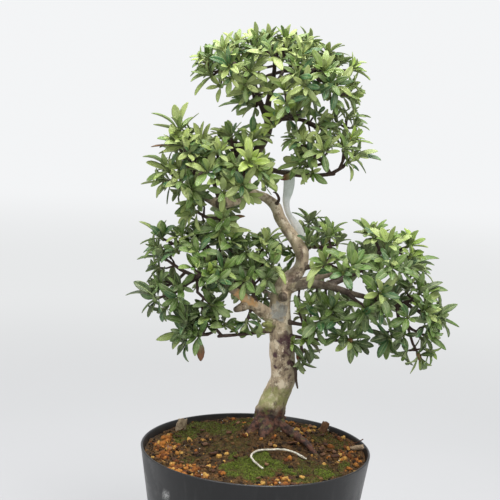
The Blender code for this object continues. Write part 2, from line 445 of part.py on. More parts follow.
def tube(name, path, sides, group):
    """A round piece along a path of (place, radius) pairs, closed at both ends."""
    curve = bpy.data.curves.new(name, "CURVE")
    curve.dimensions = "3D"
    curve.bevel_depth = 1.0
    curve.bevel_resolution = sides // 2 - 2
    curve.use_fill_caps = True
    spline = curve.splines.new("POLY")
    spline.points.add(len(path) - 1)
    for point, (place, radius) in zip(spline.points, path):
        point.co = (*place, 1.0)
        point.radius = radius
    drawn = add_object(name + "_line", curve, group)
    mesh = evaluated_mesh(drawn)
    weld(mesh)
    bpy.data.objects.remove(drawn, do_unlink=True)
    bpy.data.curves.remove(curve)
    return add_object(name, mesh, group)


def join(pieces, name, group, solver="EXACT"):
    """One body from pieces that run into each other."""
    body = pieces[0]
    operands = bpy.data.collections.new(name + "_operands")
    bpy.context.scene.collection.children.link(operands)
    for piece in pieces[1:]:
        for owner in list(piece.users_collection):
            owner.objects.unlink(piece)
        operands.objects.link(piece)
    union = body.modifiers.new("union", "BOOLEAN")
    union.operation = "UNION"
    union.operand_type = "COLLECTION"
    union.collection = operands
    union.solver = solver
    mesh = evaluated_mesh(body)
    body.modifiers.remove(union)
    body.data = mesh
    for piece in list(operands.objects):
        bpy.data.objects.remove(piece, do_unlink=True)
    bpy.data.collections.remove(operands)
    keep_largest_body(mesh)
    body.name = name
    mesh.name = name
    if name not in group.objects:
        group.objects.link(body)
    return body


def keep_largest_body(mesh):
    """Drop loose scraps and the walls of sealed hollows."""
    bm = bmesh.new()
    bm.from_mesh(mesh)
    bodies = []
    left = set(bm.verts)
    while left:
        start = left.pop()
        body = {start}
        edge_of_search = [start]
        while edge_of_search:
            vert = edge_of_search.pop()
            for edge in vert.link_edges:
                other = edge.other_vert(vert)
                if other not in body:
                    body.add(other)
                    edge_of_search.append(other)
        left -= body
        bodies.append(body)
    bodies.sort(key=len)
    for body in bodies[:-1]:
        bmesh.ops.delete(bm, geom=list(body), context="VERTS")
    bm.to_mesh(mesh)
    bm.free()


def subtract(body, cutter, solver="EXACT"):
    """Cut one piece out of another."""
    cutter.hide_render = True
    cutter.display_type = "WIRE"
    cut = body.modifiers.new("cut", "BOOLEAN")
    cut.operation = "DIFFERENCE"
    cut.object = cutter
    cut.solver = solver
    mesh = evaluated_mesh(body)
    body.modifiers.remove(cut)
    body.data = mesh
    mesh.name = body.name


def turned(name, profile, steps, group):
    """A turned piece: its profile as (radius, height) pairs, swept round the Z axis."""
    mesh = bpy.data.meshes.new(name)
    points = [(radius, 0.0, height) for radius, height in profile]
    mesh.from_pydata(points, [(k, k + 1) for k in range(len(points) - 1)], [])
    thing = add_object(name, mesh, group)
    screw = thing.modifiers.new("turn", "SCREW")
    screw.axis = "Z"
    screw.steps = steps
    screw.render_steps = steps
    screw.use_merge_vertices = True
    screw.merge_threshold = 0.0001
    thing.data = evaluated_mesh(thing)
    thing.modifiers.remove(screw)
    thing.data.name = name
    return thing


def pot_inside(height):
    """The inner radius of the pot at a height."""
    outside = POT_FOOT_RADIUS + (POT_TOP_RADIUS - POT_FOOT_RADIUS) * height / POT_HEIGHT
    return outside - POT_WALL


def soil_height(x, y):
    """The soil's surface: a heap round the trunk's foot, with soft lumps."""
    away = (Vector((x, y, 0.0)) - TRUNK_FOOT).length / SOIL_MOUND_WIDTH
    lump = noise.noise(Vector((x, y, 0.0)) / 0.011) * SOIL_LUMP
    return SOIL_EDGE_HEIGHT + SOIL_MOUND * math.exp(-away * away) + lump


def build_pot(group, cutters, finish):
    """The growing pot: a tapered shell with a thin plain rim and drain holes in its floor."""
    rim = POT_WALL * 0.35
    floor_top = FOOT_RECESS + POT_FLOOR
    profile = (
        (0.0, floor_top), (pot_inside(floor_top) - 0.003, floor_top), (pot_inside(0.007), 0.007),
        (pot_inside(POT_HEIGHT - rim), POT_HEIGHT - rim), (POT_TOP_RADIUS - POT_WALL + rim, POT_HEIGHT),
        (POT_TOP_RADIUS - rim, POT_HEIGHT), (POT_TOP_RADIUS, POT_HEIGHT - rim),
        (POT_FOOT_RADIUS + 0.0004, 0.003), (POT_FOOT_RADIUS - 0.002, 0.0), (FOOT_RING_RADIUS, 0.0),
        (FOOT_RING_RADIUS - FOOT_RECESS, FOOT_RECESS), (FOOT_PAD_RADIUS + FOOT_RECESS, FOOT_RECESS),
        (FOOT_PAD_RADIUS, 0.0), (0.0, 0.0),
    )
    pot = turned("pot", profile, TURN_STEPS, group)
    drills = []
    for k in range(DRAIN_HOLES):
        turn = math.tau * (k + 0.5) / DRAIN_HOLES
        bpy.ops.mesh.primitive_cylinder_add(vertices=8, radius=DRAIN_HOLE_RADIUS, depth=0.02)
        drill = bpy.context.object
        drill.name = f"drain_drill_{k}"
        drill.location = (DRAIN_RING_RADIUS * math.cos(turn), DRAIN_RING_RADIUS * math.sin(turn), 0.0)
        for owner in list(drill.users_collection):
            owner.objects.unlink(drill)
        cutters.objects.link(drill)
        drills.append(drill)
    bpy.context.view_layer.update()
    for drill in drills:
        subtract(pot, drill)
    pot.data.materials.append(finish)
    shade_round(pot)
    return pot


def shade_round(thing, angle=40.0):
    """Smooth shading with sharp edges kept."""
    thing.data.shade_smooth()
    thing.data.set_sharp_from_angle(angle=math.radians(angle))


def foot_pieces(group, extra, name):
    """The trunk's foot and its surface roots, extra thicker all round."""
    foot = [(place - Vector((0.0, 0.0, extra)), radius + extra) for place, radius in smooth_path(TRUNK[:4])]
    pieces = [tube(name + "_foot", foot, STEM_SIDES, group)]
    for k, points in enumerate(ROOTS):
        path = [(place, radius + extra) for place, radius in smooth_path(points)]
        pieces.append(tube(f"{name}_root_{k}", path, 8, group))
    return pieces


def build_trunk(group, finish):
    """The trunk with its surface roots, main branches, cut stubs and scars, as one grown piece."""
    stem = tube("trunk", smooth_path(TRUNK), STEM_SIDES, group)
    roughen(stem.data)
    pieces = [stem]
    for k, points in enumerate(ROOTS):
        pieces.append(tube(f"root_{k}", smooth_path(points), 8, group))
    for name, points in BRANCHES.items():
        sides = 8 if points[0][3] > THICK_BRANCH else 6
        pieces.append(tube(name, smooth_path(points), sides, group))
    pieces.append(tube("crown_left_twig", smooth_path(TWIG_BRANCH), 6, group))
    trunk = join(pieces, "trunk", group)
    trunk.data.materials.append(finish)
    shade_round(trunk, 60.0)
    return trunk


def roughen(mesh):
    """Uneven bark on the thick part of the stem, above the soil."""
    for vert in mesh.vertices:
        above = min(max((vert.co.z - 0.152) / 0.01, 0.0), 1.0)
        lump = noise.noise(vert.co / 0.009) * BARK_LUMP * above
        vert.co += vert.normal * lump


def build_soil(group, cutters, finish):
    """Soil with a socket for the trunk's foot, its chips and grains fused in."""
    edge = pot_inside(SOIL_EDGE_HEIGHT) - GAP
    floor = FOOT_RECESS + POT_FLOOR + GAP
    profile = [(edge * share, SOIL_EDGE_HEIGHT) for share in SOIL_RINGS]
    profile += [(edge - GAP, SOIL_EDGE_HEIGHT), (pot_inside(0.0075) - GAP, 0.0075),
                (pot_inside(floor) - 0.0035, floor), (0.0, floor)]
    soil = turned("soil", profile, TURN_STEPS, group)
    for vert in soil.data.vertices:
        if vert.co.z > SOIL_EDGE_HEIGHT - 0.0001:
            vert.co.z = soil_height(vert.co.x, vert.co.y)
    pieces = [soil] + soil_chips(group) + soil_grains(group)
    soil = join(pieces, "soil", group)
    socket = join(foot_pieces(cutters, GAP * 1.4, "socket"), "root_socket", cutters)
    subtract(soil, socket, "MANIFOLD")
    keep_largest_body(soil.data)
    soil.data.materials.append(finish)
    return soil


def soil_chips(group):
    """Bark chips that stick up out of the soil."""
    chips = []
    for k, (place, size, turn) in enumerate(CHIPS):
        bpy.ops.mesh.primitive_cube_add(size=1.0)
        chip = bpy.context.object
        chip.name = f"chip_{k}"
        x, y, lift = (part * MM for part in place)
        middle = Vector((x, y, soil_height(x, y) + size[2] * MM * 0.22 + lift))
        spin = Euler([math.radians(angle) for angle in turn]).to_matrix().to_4x4()
        chip.data.transform(Matrix.Translation(middle) @ spin @ Matrix.Diagonal((*(Vector(size) * MM), 1.0)))
        chips.append(chip)
    return chips


def soil_grains(group):
    """Grains of baked clay, thickest along the front of the rim."""
    draw = random.Random(41)
    grains = []
    edge = pot_inside(SOIL_EDGE_HEIGHT)
    for k in range(GRAINS):
        turn = math.radians(draw.uniform(150.0, 390.0))
        reach = edge * draw.uniform(0.62, 0.94)
        x, y = reach * math.cos(turn), reach * math.sin(turn)
        size = GRAIN_RADIUS * draw.uniform(0.7, 1.3)
        bm = bmesh.new()
        bmesh.ops.create_icosphere(bm, subdivisions=1, radius=size)
        squash = Matrix.Rotation(draw.uniform(0.0, math.tau), 4, "Z") @ Matrix.Diagonal((1.0, 0.8, 0.75, 1.0))
        bm.transform(Matrix.Translation((x, y, soil_height(x, y) + size * 0.25)) @ squash)
        mesh = bpy.data.meshes.new(f"grain_{k}")
        bm.to_mesh(mesh)
        bm.free()
        grains.append(add_object(f"grain_{k}", mesh, group))
    return grains


def leaf_rings(hub, tip, face, width, extra=0.0):
    """Sections of a leaf, each as left edge, right edge and keel, and its tip."""
    along = tip - hub
    length = along.length
    along.normalize()
    side = along.cross(face).normalized()
    up = side.cross(along)
    rings = []
    for t, share in LEAF_SECTIONS:
        half = width / 2 * share + extra
        arch = 4.0 * t * (1.0 - t) * length * LEAF_ARCH
        middle = hub + along * (t * length) + up * arch
        edge = up * (half * LEAF_FOLD + extra)
        keel = up * (LEAF_THICKNESS + extra * 2)
        rings.append((middle - side * half + edge, middle + side * half + edge, middle + edge * 0.4 - keel))
    return rings, tip + along * extra


def leaf_tree(hub, tip, face, width):
    """A leaf from its first section on, a little thicker, to test it against its neighbours."""
    rings, point = leaf_rings(hub, tip, face, width, LEAF_CLEARANCE)
    corners = [corner for ring in rings for corner in ring] + [point]
    last = 3 * len(rings)
    sides = [(low + j, low + (j + 1) % 3, low + 3 + (j + 1) % 3, low + 3 + j)
             for low in range(0, last - 3, 3) for j in range(3)]
    sides += [(last - 3 + j, last - 3 + (j + 1) % 3, last) for j in range(3)] + [(0, 2, 1)]
    return BVHTree.FromPolygons(corners, sides)


def draw_out(bm, face, rings):
    """Draw a three-cornered face out through rings of three places."""
    for ring in rings:
        corners = [vert.co.copy() for vert in face.verts]
        middle = sum(corners, Vector()) / 3
        centre = sum(ring, Vector()) / 3
        turns = [[ring[(j + k) % 3] for j in range(3)] for k in range(3)]
        best = min(turns, key=lambda turn: sum(
            (corner - middle).normalized().dot((centre - place).normalized())
            for corner, place in zip(corners, turn)))
        face = bmesh.ops.extrude_discrete_faces(bm, faces=[face])["faces"][0]
        for vert, place in zip(face.verts, best):
            vert.co = place
    return face


def seat_choices(back, ways):
    """Ways to turn a bud and seat its leaves on its sides, the best fitting first."""
    turn_back = Vector((1.0, 1.0, 1.0)).rotation_difference(back).to_matrix()
    choices = []
    for spin in range(BUD_SPINS):
        turn = Matrix.Rotation(math.radians(120.0) * spin / BUD_SPINS, 3, back) @ turn_back
        normals = [(turn @ Vector(sign)).normalized() for sign in BUD_SIDES[1:]]
        pairs = sorted(((way.dot(normal), k, side) for k, way in enumerate(ways)
                        for side, normal in enumerate(normals)), reverse=True)
        seats = {}
        score = 0.0
        for fit, k, side in pairs:
            if k not in seats and side not in seats.values():
                seats[k] = side
                score += fit
        choices.append((score, turn, seats))
    return sorted(choices, key=lambda choice: -choice[0])


def bud_faces(bm, hub, turn):
    """An eight-sided bud. Its first face is the one toward the twig."""
    corners = {}
    for axis in range(3):
        for sign in (1, -1):
            place = Vector([sign if part == axis else 0.0 for part in range(3)])
            corners[axis, sign] = bm.verts.new(hub + turn @ place * BUD_RADIUS)
    faces = []
    for x, y, z in BUD_SIDES:
        ring = [corners[0, x], corners[1, y], corners[2, z]]
        faces.append(bm.faces.new(ring if x * y * z > 0 else ring[::-1]))
    return faces


def crosses_itself(bm):
    """Whether any two faces of a body pass through each other."""
    tree = BVHTree.FromBMesh(bm)
    bm.faces.ensure_lookup_table()
    for one, two in tree.overlap(tree):
        first, second = bm.faces[one], bm.faces[two]
        shared = set(first.verts) & set(second.verts)
        if len(shared) > 1:
            continue
        if not shared:
            return True
        start, end = [vert.co for vert in first.verts if vert not in shared]
        hit = geometry.intersect_ray_tri(*(vert.co for vert in second.verts), end - start, start)
        if hit and 0.0 < (hit - start).dot(end - start) < (end - start).length_squared:
            return True
    return False


def twig_rings(path):
    """Three-cornered sections along a twig, from its whorl back into the wood that it grows from."""
    rings = []
    for k in range(len(path) - 2, -1, -1):
        place, radius = path[k]
        way = (path[max(k - 1, 0)][0] - path[k + 1][0]).normalized()
        side = way.orthogonal().normalized()
        size = radius * (TWIG_CORNERS if k else TWIG_ROOT)
        rings.append([place + Matrix.Rotation(math.tau * j / 3, 3, way) @ side * size for j in range(3)])
    return rings


def whorl_mesh(name, hub, leaves, path):
    """A bud whose faces are drawn out into leaves, and one face back along its twig."""
    back = (path[-2][0] - hub).normalized()
    for count in range(len(leaves), -1, -1):
        shown = leaves[:count]
        for _, turn, seats in seat_choices(back, [(tip - hub).normalized() for tip, _, _ in shown]):
            bm = bmesh.new()
            faces = bud_faces(bm, hub, turn)
            draw_out(bm, faces[0], twig_rings(path))
            for k, (tip, face, width) in enumerate(shown):
                rings, point = leaf_rings(hub, tip, face, width)
                end = draw_out(bm, faces[1 + seats[k]], rings)
                bmesh.ops.poke(bm, faces=[end])["verts"][0].co = point
            bmesh.ops.triangulate(bm, faces=bm.faces[:])
            if not crosses_itself(bm):
                mesh = bpy.data.meshes.new(name)
                bm.to_mesh(mesh)
                bm.free()
                return mesh
            bm.free()
    raise ValueError(f"{name} crosses itself")


class Company:
    """What stands already, to keep new leaves and twigs clear of it."""

    def __init__(self):
        self.trees = []

    def add(self, tree, middle, reach, owner=None):
        """Note one standing thing."""
        self.trees.append((tree, middle, reach, owner))

    def hit(self, tree, middle, reach, skip=None):
        """Whether a new thing crosses what stands, apart from what skip owns."""
        for other, place, size, owner in self.trees:
            if (skip and owner == skip) or (place - middle).length > reach + size:
                continue
            if tree.overlap(other):
                return True
        return False


def facing(along, share):
    """The way a leaf's upper side looks, so that the front sees a share of its width."""
    toward = Vector((0.0, -1.0, 0.12))
    toward = (toward - along * toward.dot(along)).normalized()
    aside = along.cross(toward)
    if aside.z < 0.0:
        aside = -aside
    return toward * share + aside * math.sqrt(max(1.0 - share * share, 0.0))


def sketched_leaf(hub, tip, axis):
    """Base, tip, face and width of a leaf whose tip the sketch shows."""
    across, up, share = tip
    level = hub.y * 1000.0
    end = sketch(across, up, level)
    length = (end - hub).length
    if length < LEAF_LENGTH * NEAR_FULL:
        toward = math.sqrt((LEAF_LENGTH * NEAR_FULL) ** 2 - length ** 2) * FORESHORTENING
        level += (-toward if axis.y < FRONT_AXIS else toward) * 1000.0
        end = sketch(across, up, level)
    along = (end - hub).normalized()
    width = min(max((end - hub).length * LEAF_WIDTH_SHARE, LEAST_WIDTH), LEAF_WIDEST)
    return end, facing(along, share), width


def ruled_leaf(hub, axis, number, draw, youth, turn):
    """Base, tip, face and width of a leaf by the whorl's rule: golden turns, the young ones upright."""
    age = number / (LEAVES_IN_WHORL - 1)
    spread = OLD_SPREAD - SPREAD_LOSS * age - YOUNG_LIFT * youth + draw.uniform(-SPREAD_PLAY, SPREAD_PLAY)
    spread = math.radians(spread)
    length = LEAF_LENGTH * (1.0 - AGE_LOSS * age) * draw.uniform(*LENGTH_PLAY) * (1.0 - YOUNG_LOSS * youth)
    around = turn + number * GOLDEN_TURN + draw.uniform(-TURN_PLAY, TURN_PLAY)
    aside = axis.orthogonal().normalized()
    out = Matrix.Rotation(around, 3, axis) @ aside
    along = axis * math.cos(spread) + out * math.sin(spread)
    face = axis * math.sin(spread) - out * math.cos(spread)
    width = min(length * LEAF_WIDTH_SHARE * draw.uniform(*WIDTH_PLAY), LEAF_WIDEST)
    return hub + along * length, face, width


def whorl_axis(hub, heart, lift):
    """Whorls point away from the spray's heart and up."""
    return ((hub - heart).normalized() + Vector((0.0, 0.0, lift))).normalized()


def fill_whorls(spray, taken, draw):
    """More whorls on the shell round the heart, away from the front and from each other."""
    count, wide, deep, high = spray["fill"]
    heart = sketch(*spray["heart"])
    found = []
    for _ in range(FILL_TRIES):
        if len(found) == count:
            break
        way = Vector((draw.gauss(0.0, 1.0), draw.gauss(0.25, 1.0), draw.gauss(0.15, 0.8))).normalized()
        reach = draw.uniform(0.75, 1.0) * MM
        hub = heart + Vector((way.x * wide, way.y * deep, way.z * high)) * reach
        if spray["whorls"] and way.y < FILL_BACK:
            continue
        if all((hub - other).length > FILL_SPACING for other in taken + found):
            found.append(hub)
    return found


def bowed_path(start, thick, hub, bow):
    """A twig from standing wood to a whorl, as (place, radius) pairs."""
    span = (hub - start).length
    steps = max(2, round(span / TWIG_STEP)) if span > TWIG_STEP / 2 else 1
    path = []
    for k in range(steps + 1):
        t = k / steps
        place = start.lerp(hub, t) + bow * (4.0 * t * (1.0 - t))
        path.append((place, thick + (TWIG_RADIUS - thick) * t))
    return path


def clear_twig(wood, heading, hub, company, name):
    """A path from standing wood to a whorl, bent clear of what other pieces own."""
    nearest = sorted(wood, key=lambda knot: (knot[0] - hub).length + RUN_COST * knot[2])[:TWIG_STARTS]
    for start, radius, _ in nearest:
        thick = max(min(radius, TWIG_THICKEST), TWIG_RADIUS)
        span = (hub - start).length
        way = (hub - start).normalized()
        bows = [Vector((0.0, 0.0, -SAG * span))]
        if start is wood[0][0]:
            bows.insert(0, (heading - way * heading.dot(way)) * ROOT_BOW * span)
        for share in WIDER_BOWS:
            aside = way.orthogonal().normalized() * share * span
            turns = [Matrix.Rotation(math.tau * k / BOW_TURNS, 3, way) for k in range(BOW_TURNS)]
            bows += [turn @ aside for turn in turns]
        for bow in bows:
            path = bowed_path(start, thick, hub, bow)
            first = (path[1][0] - start).normalized() * TWIG_SUNK
            probe = path_tree([(start + first, thick)] + path[1:], GAP)
            if not company.hit(probe, (start + hub) / 2, span, name):
                return path
    return None


def grow_twigs(root, heading, radius, hubs, company, name):
    """Paths from the branch's end to every whorl, each from the nearest wood that stands."""
    wood = [(root + heading * TWIG_SUNK / 2, radius, 0.0)]
    paths = []
    for hub in sorted(hubs, key=lambda place: (place - root).length):
        path = clear_twig(wood, heading, hub, company, name)
        if path is None:
            continue
        run = next(knot[2] for knot in wood if knot[0] == path[0][0])
        for (before, _), (place, size) in zip(path[:-2], path[1:-1]):
            wood.append((before.lerp(place, 0.7), size, run + (place - path[0][0]).length))
        paths.append((hub, path))
    return paths


def tree_of(thing):
    """A search tree of an object's faces."""
    bm = bmesh.new()
    bm.from_mesh(thing.data)
    tree = BVHTree.FromBMesh(bm)
    bm.free()
    return tree


def path_tree(path, extra):
    """A search tree of a thin square tube round a path."""
    points, faces = [], []
    for k, (place, radius) in enumerate(path):
        way = path[min(k + 1, len(path) - 1)][0] - path[max(k - 1, 0)][0]
        side = way.orthogonal().normalized() * (radius + extra)
        other = way.normalized().cross(side)
        points += [place + side, place + other, place - side, place - other]
        if k:
            low = 4 * k - 4
            faces += [(low + j, low + (j + 1) % 4, low + 4 + (j + 1) % 4, low + 4 + j) for j in range(4)]
    return BVHTree.FromPolygons(points, faces)


def branch_end(name):
    """Where a branch ends, which way it heads there, and its radius."""
    points = TRUNK if name == "trunk" else BRANCHES.get(name, TWIG_BRANCH)
    (before, _), (end, radius) = smooth_path(points)[-2:]
    return end, (end - before).normalized(), radius


def plan_sprays(company):
    """Stems, twig paths and whorls of every spray, before any leaf is placed."""
    plans = {}
    for number, (name, spray) in enumerate(SPRAYS.items()):
        draw = random.Random(100 + number)
        end, heading, radius = branch_end(spray["branch"])
        heart = sketch(*spray["heart"])
        facts = [(sketch(*place[:3]), place[3], tips) for place, tips in spray["whorls"]]
        if spray["fill"]:
            found = fill_whorls(spray, [fact[0] for fact in facts], draw)
            facts += [(hub, draw.choice((0.0, 0.1, 0.2, 0.6)), ()) for hub in found]
        root = end + heading * (GAP + 0.0001)
        stem = [(root, radius), (root + heading * STEM_LENGTH, radius * 0.9)]
        paths = grow_twigs(root, heading, radius, [fact[0] for fact in facts], company, name)
        whorls = []
        for hub, path in paths:
            _, youth, tips = next(fact for fact in facts if fact[0] == hub)
            axis = whorl_axis(hub, heart, spray["lift"])
            whorls.append((hub, axis, youth, tips, path))
        for path in [stem] + [path for _, path in paths]:
            middle = (path[0][0] + path[-1][0]) / 2
            company.add(path_tree(path, 0.0), middle, (path[0][0] - path[-1][0]).length, name)
        plans[name] = (stem, whorls)
    return plans


def whorl_leaves(whorl, draw, company):
    """The leaves of one whorl that stand clear of everything, the sketched ones first."""
    hub, axis, youth, tips, path = whorl
    back = (path[-2][0] - hub).normalized()
    turn = draw.uniform(0.0, math.tau)
    sketched = [sketched_leaf(hub, tip, axis) for tip in tips]
    ruled = [ruled_leaf(hub, axis, j, draw, youth, turn) for j in range(LEAVES_IN_WHORL)]
    wanted = max(SOLID_LEAVES, len(sketched))
    placed = []
    for number, (tip, face, width) in enumerate(sketched + ruled):
        along = (tip - hub).normalized()
        closest = SKETCHED_CLOSEST if number < len(sketched) else RULED_CLOSEST
        if len(placed) == wanted or along.dot(back) > TWIG_CLOSEST:
            continue
        if any(along.dot((other[0] - hub).normalized()) > closest for other in placed):
            continue
        probe = leaf_tree(hub, tip, face, width)
        middle, reach = (hub + tip) / 2, (tip - hub).length * 0.6
        if company.hit(probe, middle, reach):
            continue
        company.add(probe, middle, reach)
        placed.append((tip, face, width))
    return placed


def build_spray(name, plan, company, group, finish, number):
    """One leafy spray: its twigs and leaves fused in one body."""
    stem, whorls = plan
    pieces = [tube(name + "_stem", stem, 6, group)]
    for k, whorl in enumerate(whorls):
        draw = random.Random(1000 * number + k)
        leaves = whorl_leaves(whorl, draw, company)
        mesh = whorl_mesh(f"{name}_whorl_{k}", whorl[0], leaves, whorl[4])
        pieces.append(add_object(mesh.name, mesh, group))
    spray = join(pieces, name, group)
    spray.data.materials.append(finish)


def build_loop(group, finish):
    """A thin dry root that arches over the soil."""
    path = []
    for x, y, lift in LOOP:
        x, y = x * MM, y * MM
        path.append((x, y, soil_height(x, y) + lift * MM + LOOP_RADIUS + 0.0006))
    loop = tube("bleached_root", [(Vector(place), LOOP_RADIUS) for place in path], 6, group)
    loop.data.materials.append(finish)
    return loop


def build_tag(group, finish):
    """A blank strip of thin plastic, tied behind the upper trunk."""
    path = smooth_path(TAG, 2)
    mesh = bpy.data.meshes.new("name_tag")
    points, faces = [], []
    for k, (place, width) in enumerate(path):
        side = Vector((width / 2, 0.0, 0.0))
        points += [place - side, place + side]
        if k:
            faces.append((2 * k - 2, 2 * k - 1, 2 * k + 1, 2 * k))
    mesh.from_pydata([tuple(point) for point in points], [], faces)
    tag = add_object("name_tag", mesh, group)
    plate = tag.modifiers.new("plate", "SOLIDIFY")
    plate.thickness = TAG_THICKNESS
    plate.offset = 0.0
    tag.data = evaluated_mesh(tag)
    tag.modifiers.remove(plate)
    tag.data.materials.append(finish)
    return tag


def main():
    """Build every piece."""
    clear_scene()
    group = new_collection("satsuki_azalea_bonsai")
    cutters = new_collection("cutters")
    plastic = new_material("pot_plastic", (0.038, 0.038, 0.042), 0.42)
    earth = new_material("soil", (0.11, 0.062, 0.028), 0.95)
    bark = new_material("bark", (0.30, 0.23, 0.15), 0.85)
    leaf = new_material("leaf", (0.085, 0.15, 0.035), 0.42)
    dry = new_material("dry_root", (0.72, 0.68, 0.56), 0.7)
    tag = new_material("tag_plastic", (0.80, 0.84, 0.80), 0.35)
    build_pot(group, cutters, plastic)
    build_soil(group, cutters, earth)
    trunk = build_trunk(group, bark)
    build_loop(group, dry)
    strip = build_tag(group, tag)
    company = Company()
    for thing in (trunk, strip):
        company.add(tree_of(thing), Vector((0.0, 0.0, 0.2)), 1.0, thing.name)
    plans = plan_sprays(company)
    for number, (name, plan) in enumerate(plans.items()):
        build_spray(name, plan, company, group, leaf, number)


if __name__ == "__main__":
    main()
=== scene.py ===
"""A satsuki azalea bonsai in its plastic growing pot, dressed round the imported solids.

Units are metres and +Z is up. The front is -Y, and the origin is the middle of the pot's flat foot.
The tree is set out in millimetres as a grower sketches it from the front: how far across, how high and
how far back. sketch() spreads a point away from the sketcher's eye to find its true place.
"""
import logging
import math
import random
from dataclasses import dataclass, field
from enum import Enum, IntEnum
from typing import Iterable, NamedTuple, Sequence

import bpy
import numpy as np
from mathutils import Matrix, Vector
from mathutils.bvhtree import BVHTree


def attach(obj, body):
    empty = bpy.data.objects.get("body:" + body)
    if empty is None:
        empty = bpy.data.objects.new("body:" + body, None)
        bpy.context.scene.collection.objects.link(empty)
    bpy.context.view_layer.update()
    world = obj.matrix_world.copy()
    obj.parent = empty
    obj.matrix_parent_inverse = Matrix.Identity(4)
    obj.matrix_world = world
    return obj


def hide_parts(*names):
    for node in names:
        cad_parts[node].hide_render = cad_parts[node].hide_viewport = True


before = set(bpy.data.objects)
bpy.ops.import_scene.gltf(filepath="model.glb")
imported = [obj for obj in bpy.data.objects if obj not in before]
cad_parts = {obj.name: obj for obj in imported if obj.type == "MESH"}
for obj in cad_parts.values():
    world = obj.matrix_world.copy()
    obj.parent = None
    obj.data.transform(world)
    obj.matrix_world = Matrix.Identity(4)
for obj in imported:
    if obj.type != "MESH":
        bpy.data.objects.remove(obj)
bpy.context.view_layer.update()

LOG = logging.getLogger("bonsai")
MM = 0.001
ROOT_BODY = "root"
Array = np.ndarray
Trail = list[tuple[Vector, float]]      # (place, radius) pairs along a twig or branch
Leaf = tuple[Vector, Vector, float]     # a leaf's tip, the way its upper side looks, and its width
FOOT = (0.009, 0.018)                   # the middle of the trunk's foot

EYE = Vector((-0.011, -0.75, 0.373))   # where the sketcher's eye is
CAMERA_PITCH = math.radians(7.5)        # looking down
CAMERA_ROLL = math.radians(2.8)
CAMERA_LENS = 76.1                      # mm, on a sensor 36 mm wide
GOLDEN_TURN = math.radians(137.5)

# The trunk from its foot to the top: across, up, back, radius
TRUNK = (
    (8, 134, 18, 12), (8.3, 146, 18, 11.6), (8.8, 154, 18, 10.2), (10.7, 162, 17, 9.4), (14.2, 172, 16, 8.8),
    (17.6, 181, 14, 8.4), (17.2, 191, 13, 8.5), (15.8, 201, 12, 8.8), (14.8, 211, 11, 8.3),
    (13.4, 220, 10, 7.9), (12.6, 230, 9, 7.2), (12.6, 242, 8, 6.9), (15.8, 251.5, 6, 6.2),
    (22.8, 259, 4, 5.1), (26.4, 266, 3, 4.6), (26.2, 274, 2, 4.6), (21.6, 282, 2, 4.5), (15.4, 289.5, 3, 4.3),
    (9.4, 298, 5, 4.1), (5.4, 306.5, 8, 3.9), (-1.6, 312.2, 11, 3.4), (-9.6, 314.6, 13, 3.2),
    (-15.4, 321, 14, 3.2), (-15, 332, 13, 3.2), (-8.8, 346, 10, 3.3), (-3.2, 357, 8, 3.3),
    (-2.4, 366, 7, 3.2), (-3.2, 378, 7, 2.3), (-1.4, 390, 8, 2), (-0.2, 401, 7, 1.6), (-0.2, 408, 6, 1.4),
)

# Surface roots that run out from the trunk's foot and down into the soil
ROOTS = (
    ((12, 150, 16, 6), (20, 144.5, 11, 4), (30, 138.5, 2, 2.8), (38.5, 132.5, -7, 2.2), (45, 124, -12, 2)),
    ((6, 150, 16, 6), (-1, 143.5, 12, 4.2), (-6.5, 136, 8, 3), (-10, 126, 5, 2.4)),
    ((8, 150, 14, 6.4), (7, 142, 6, 4.8), (5, 135, 0, 3.2), (4, 125, -4, 2.4)),
    ((11, 150, 20, 6.2), (17, 143.5, 28, 4.4), (22, 136, 36, 3.2), (26, 126, 42, 2.4)),
    ((5, 149, 22, 6), (-1, 142.5, 29, 4.2), (-6, 135, 36, 3), (-9, 126, 41, 2.4)),
)

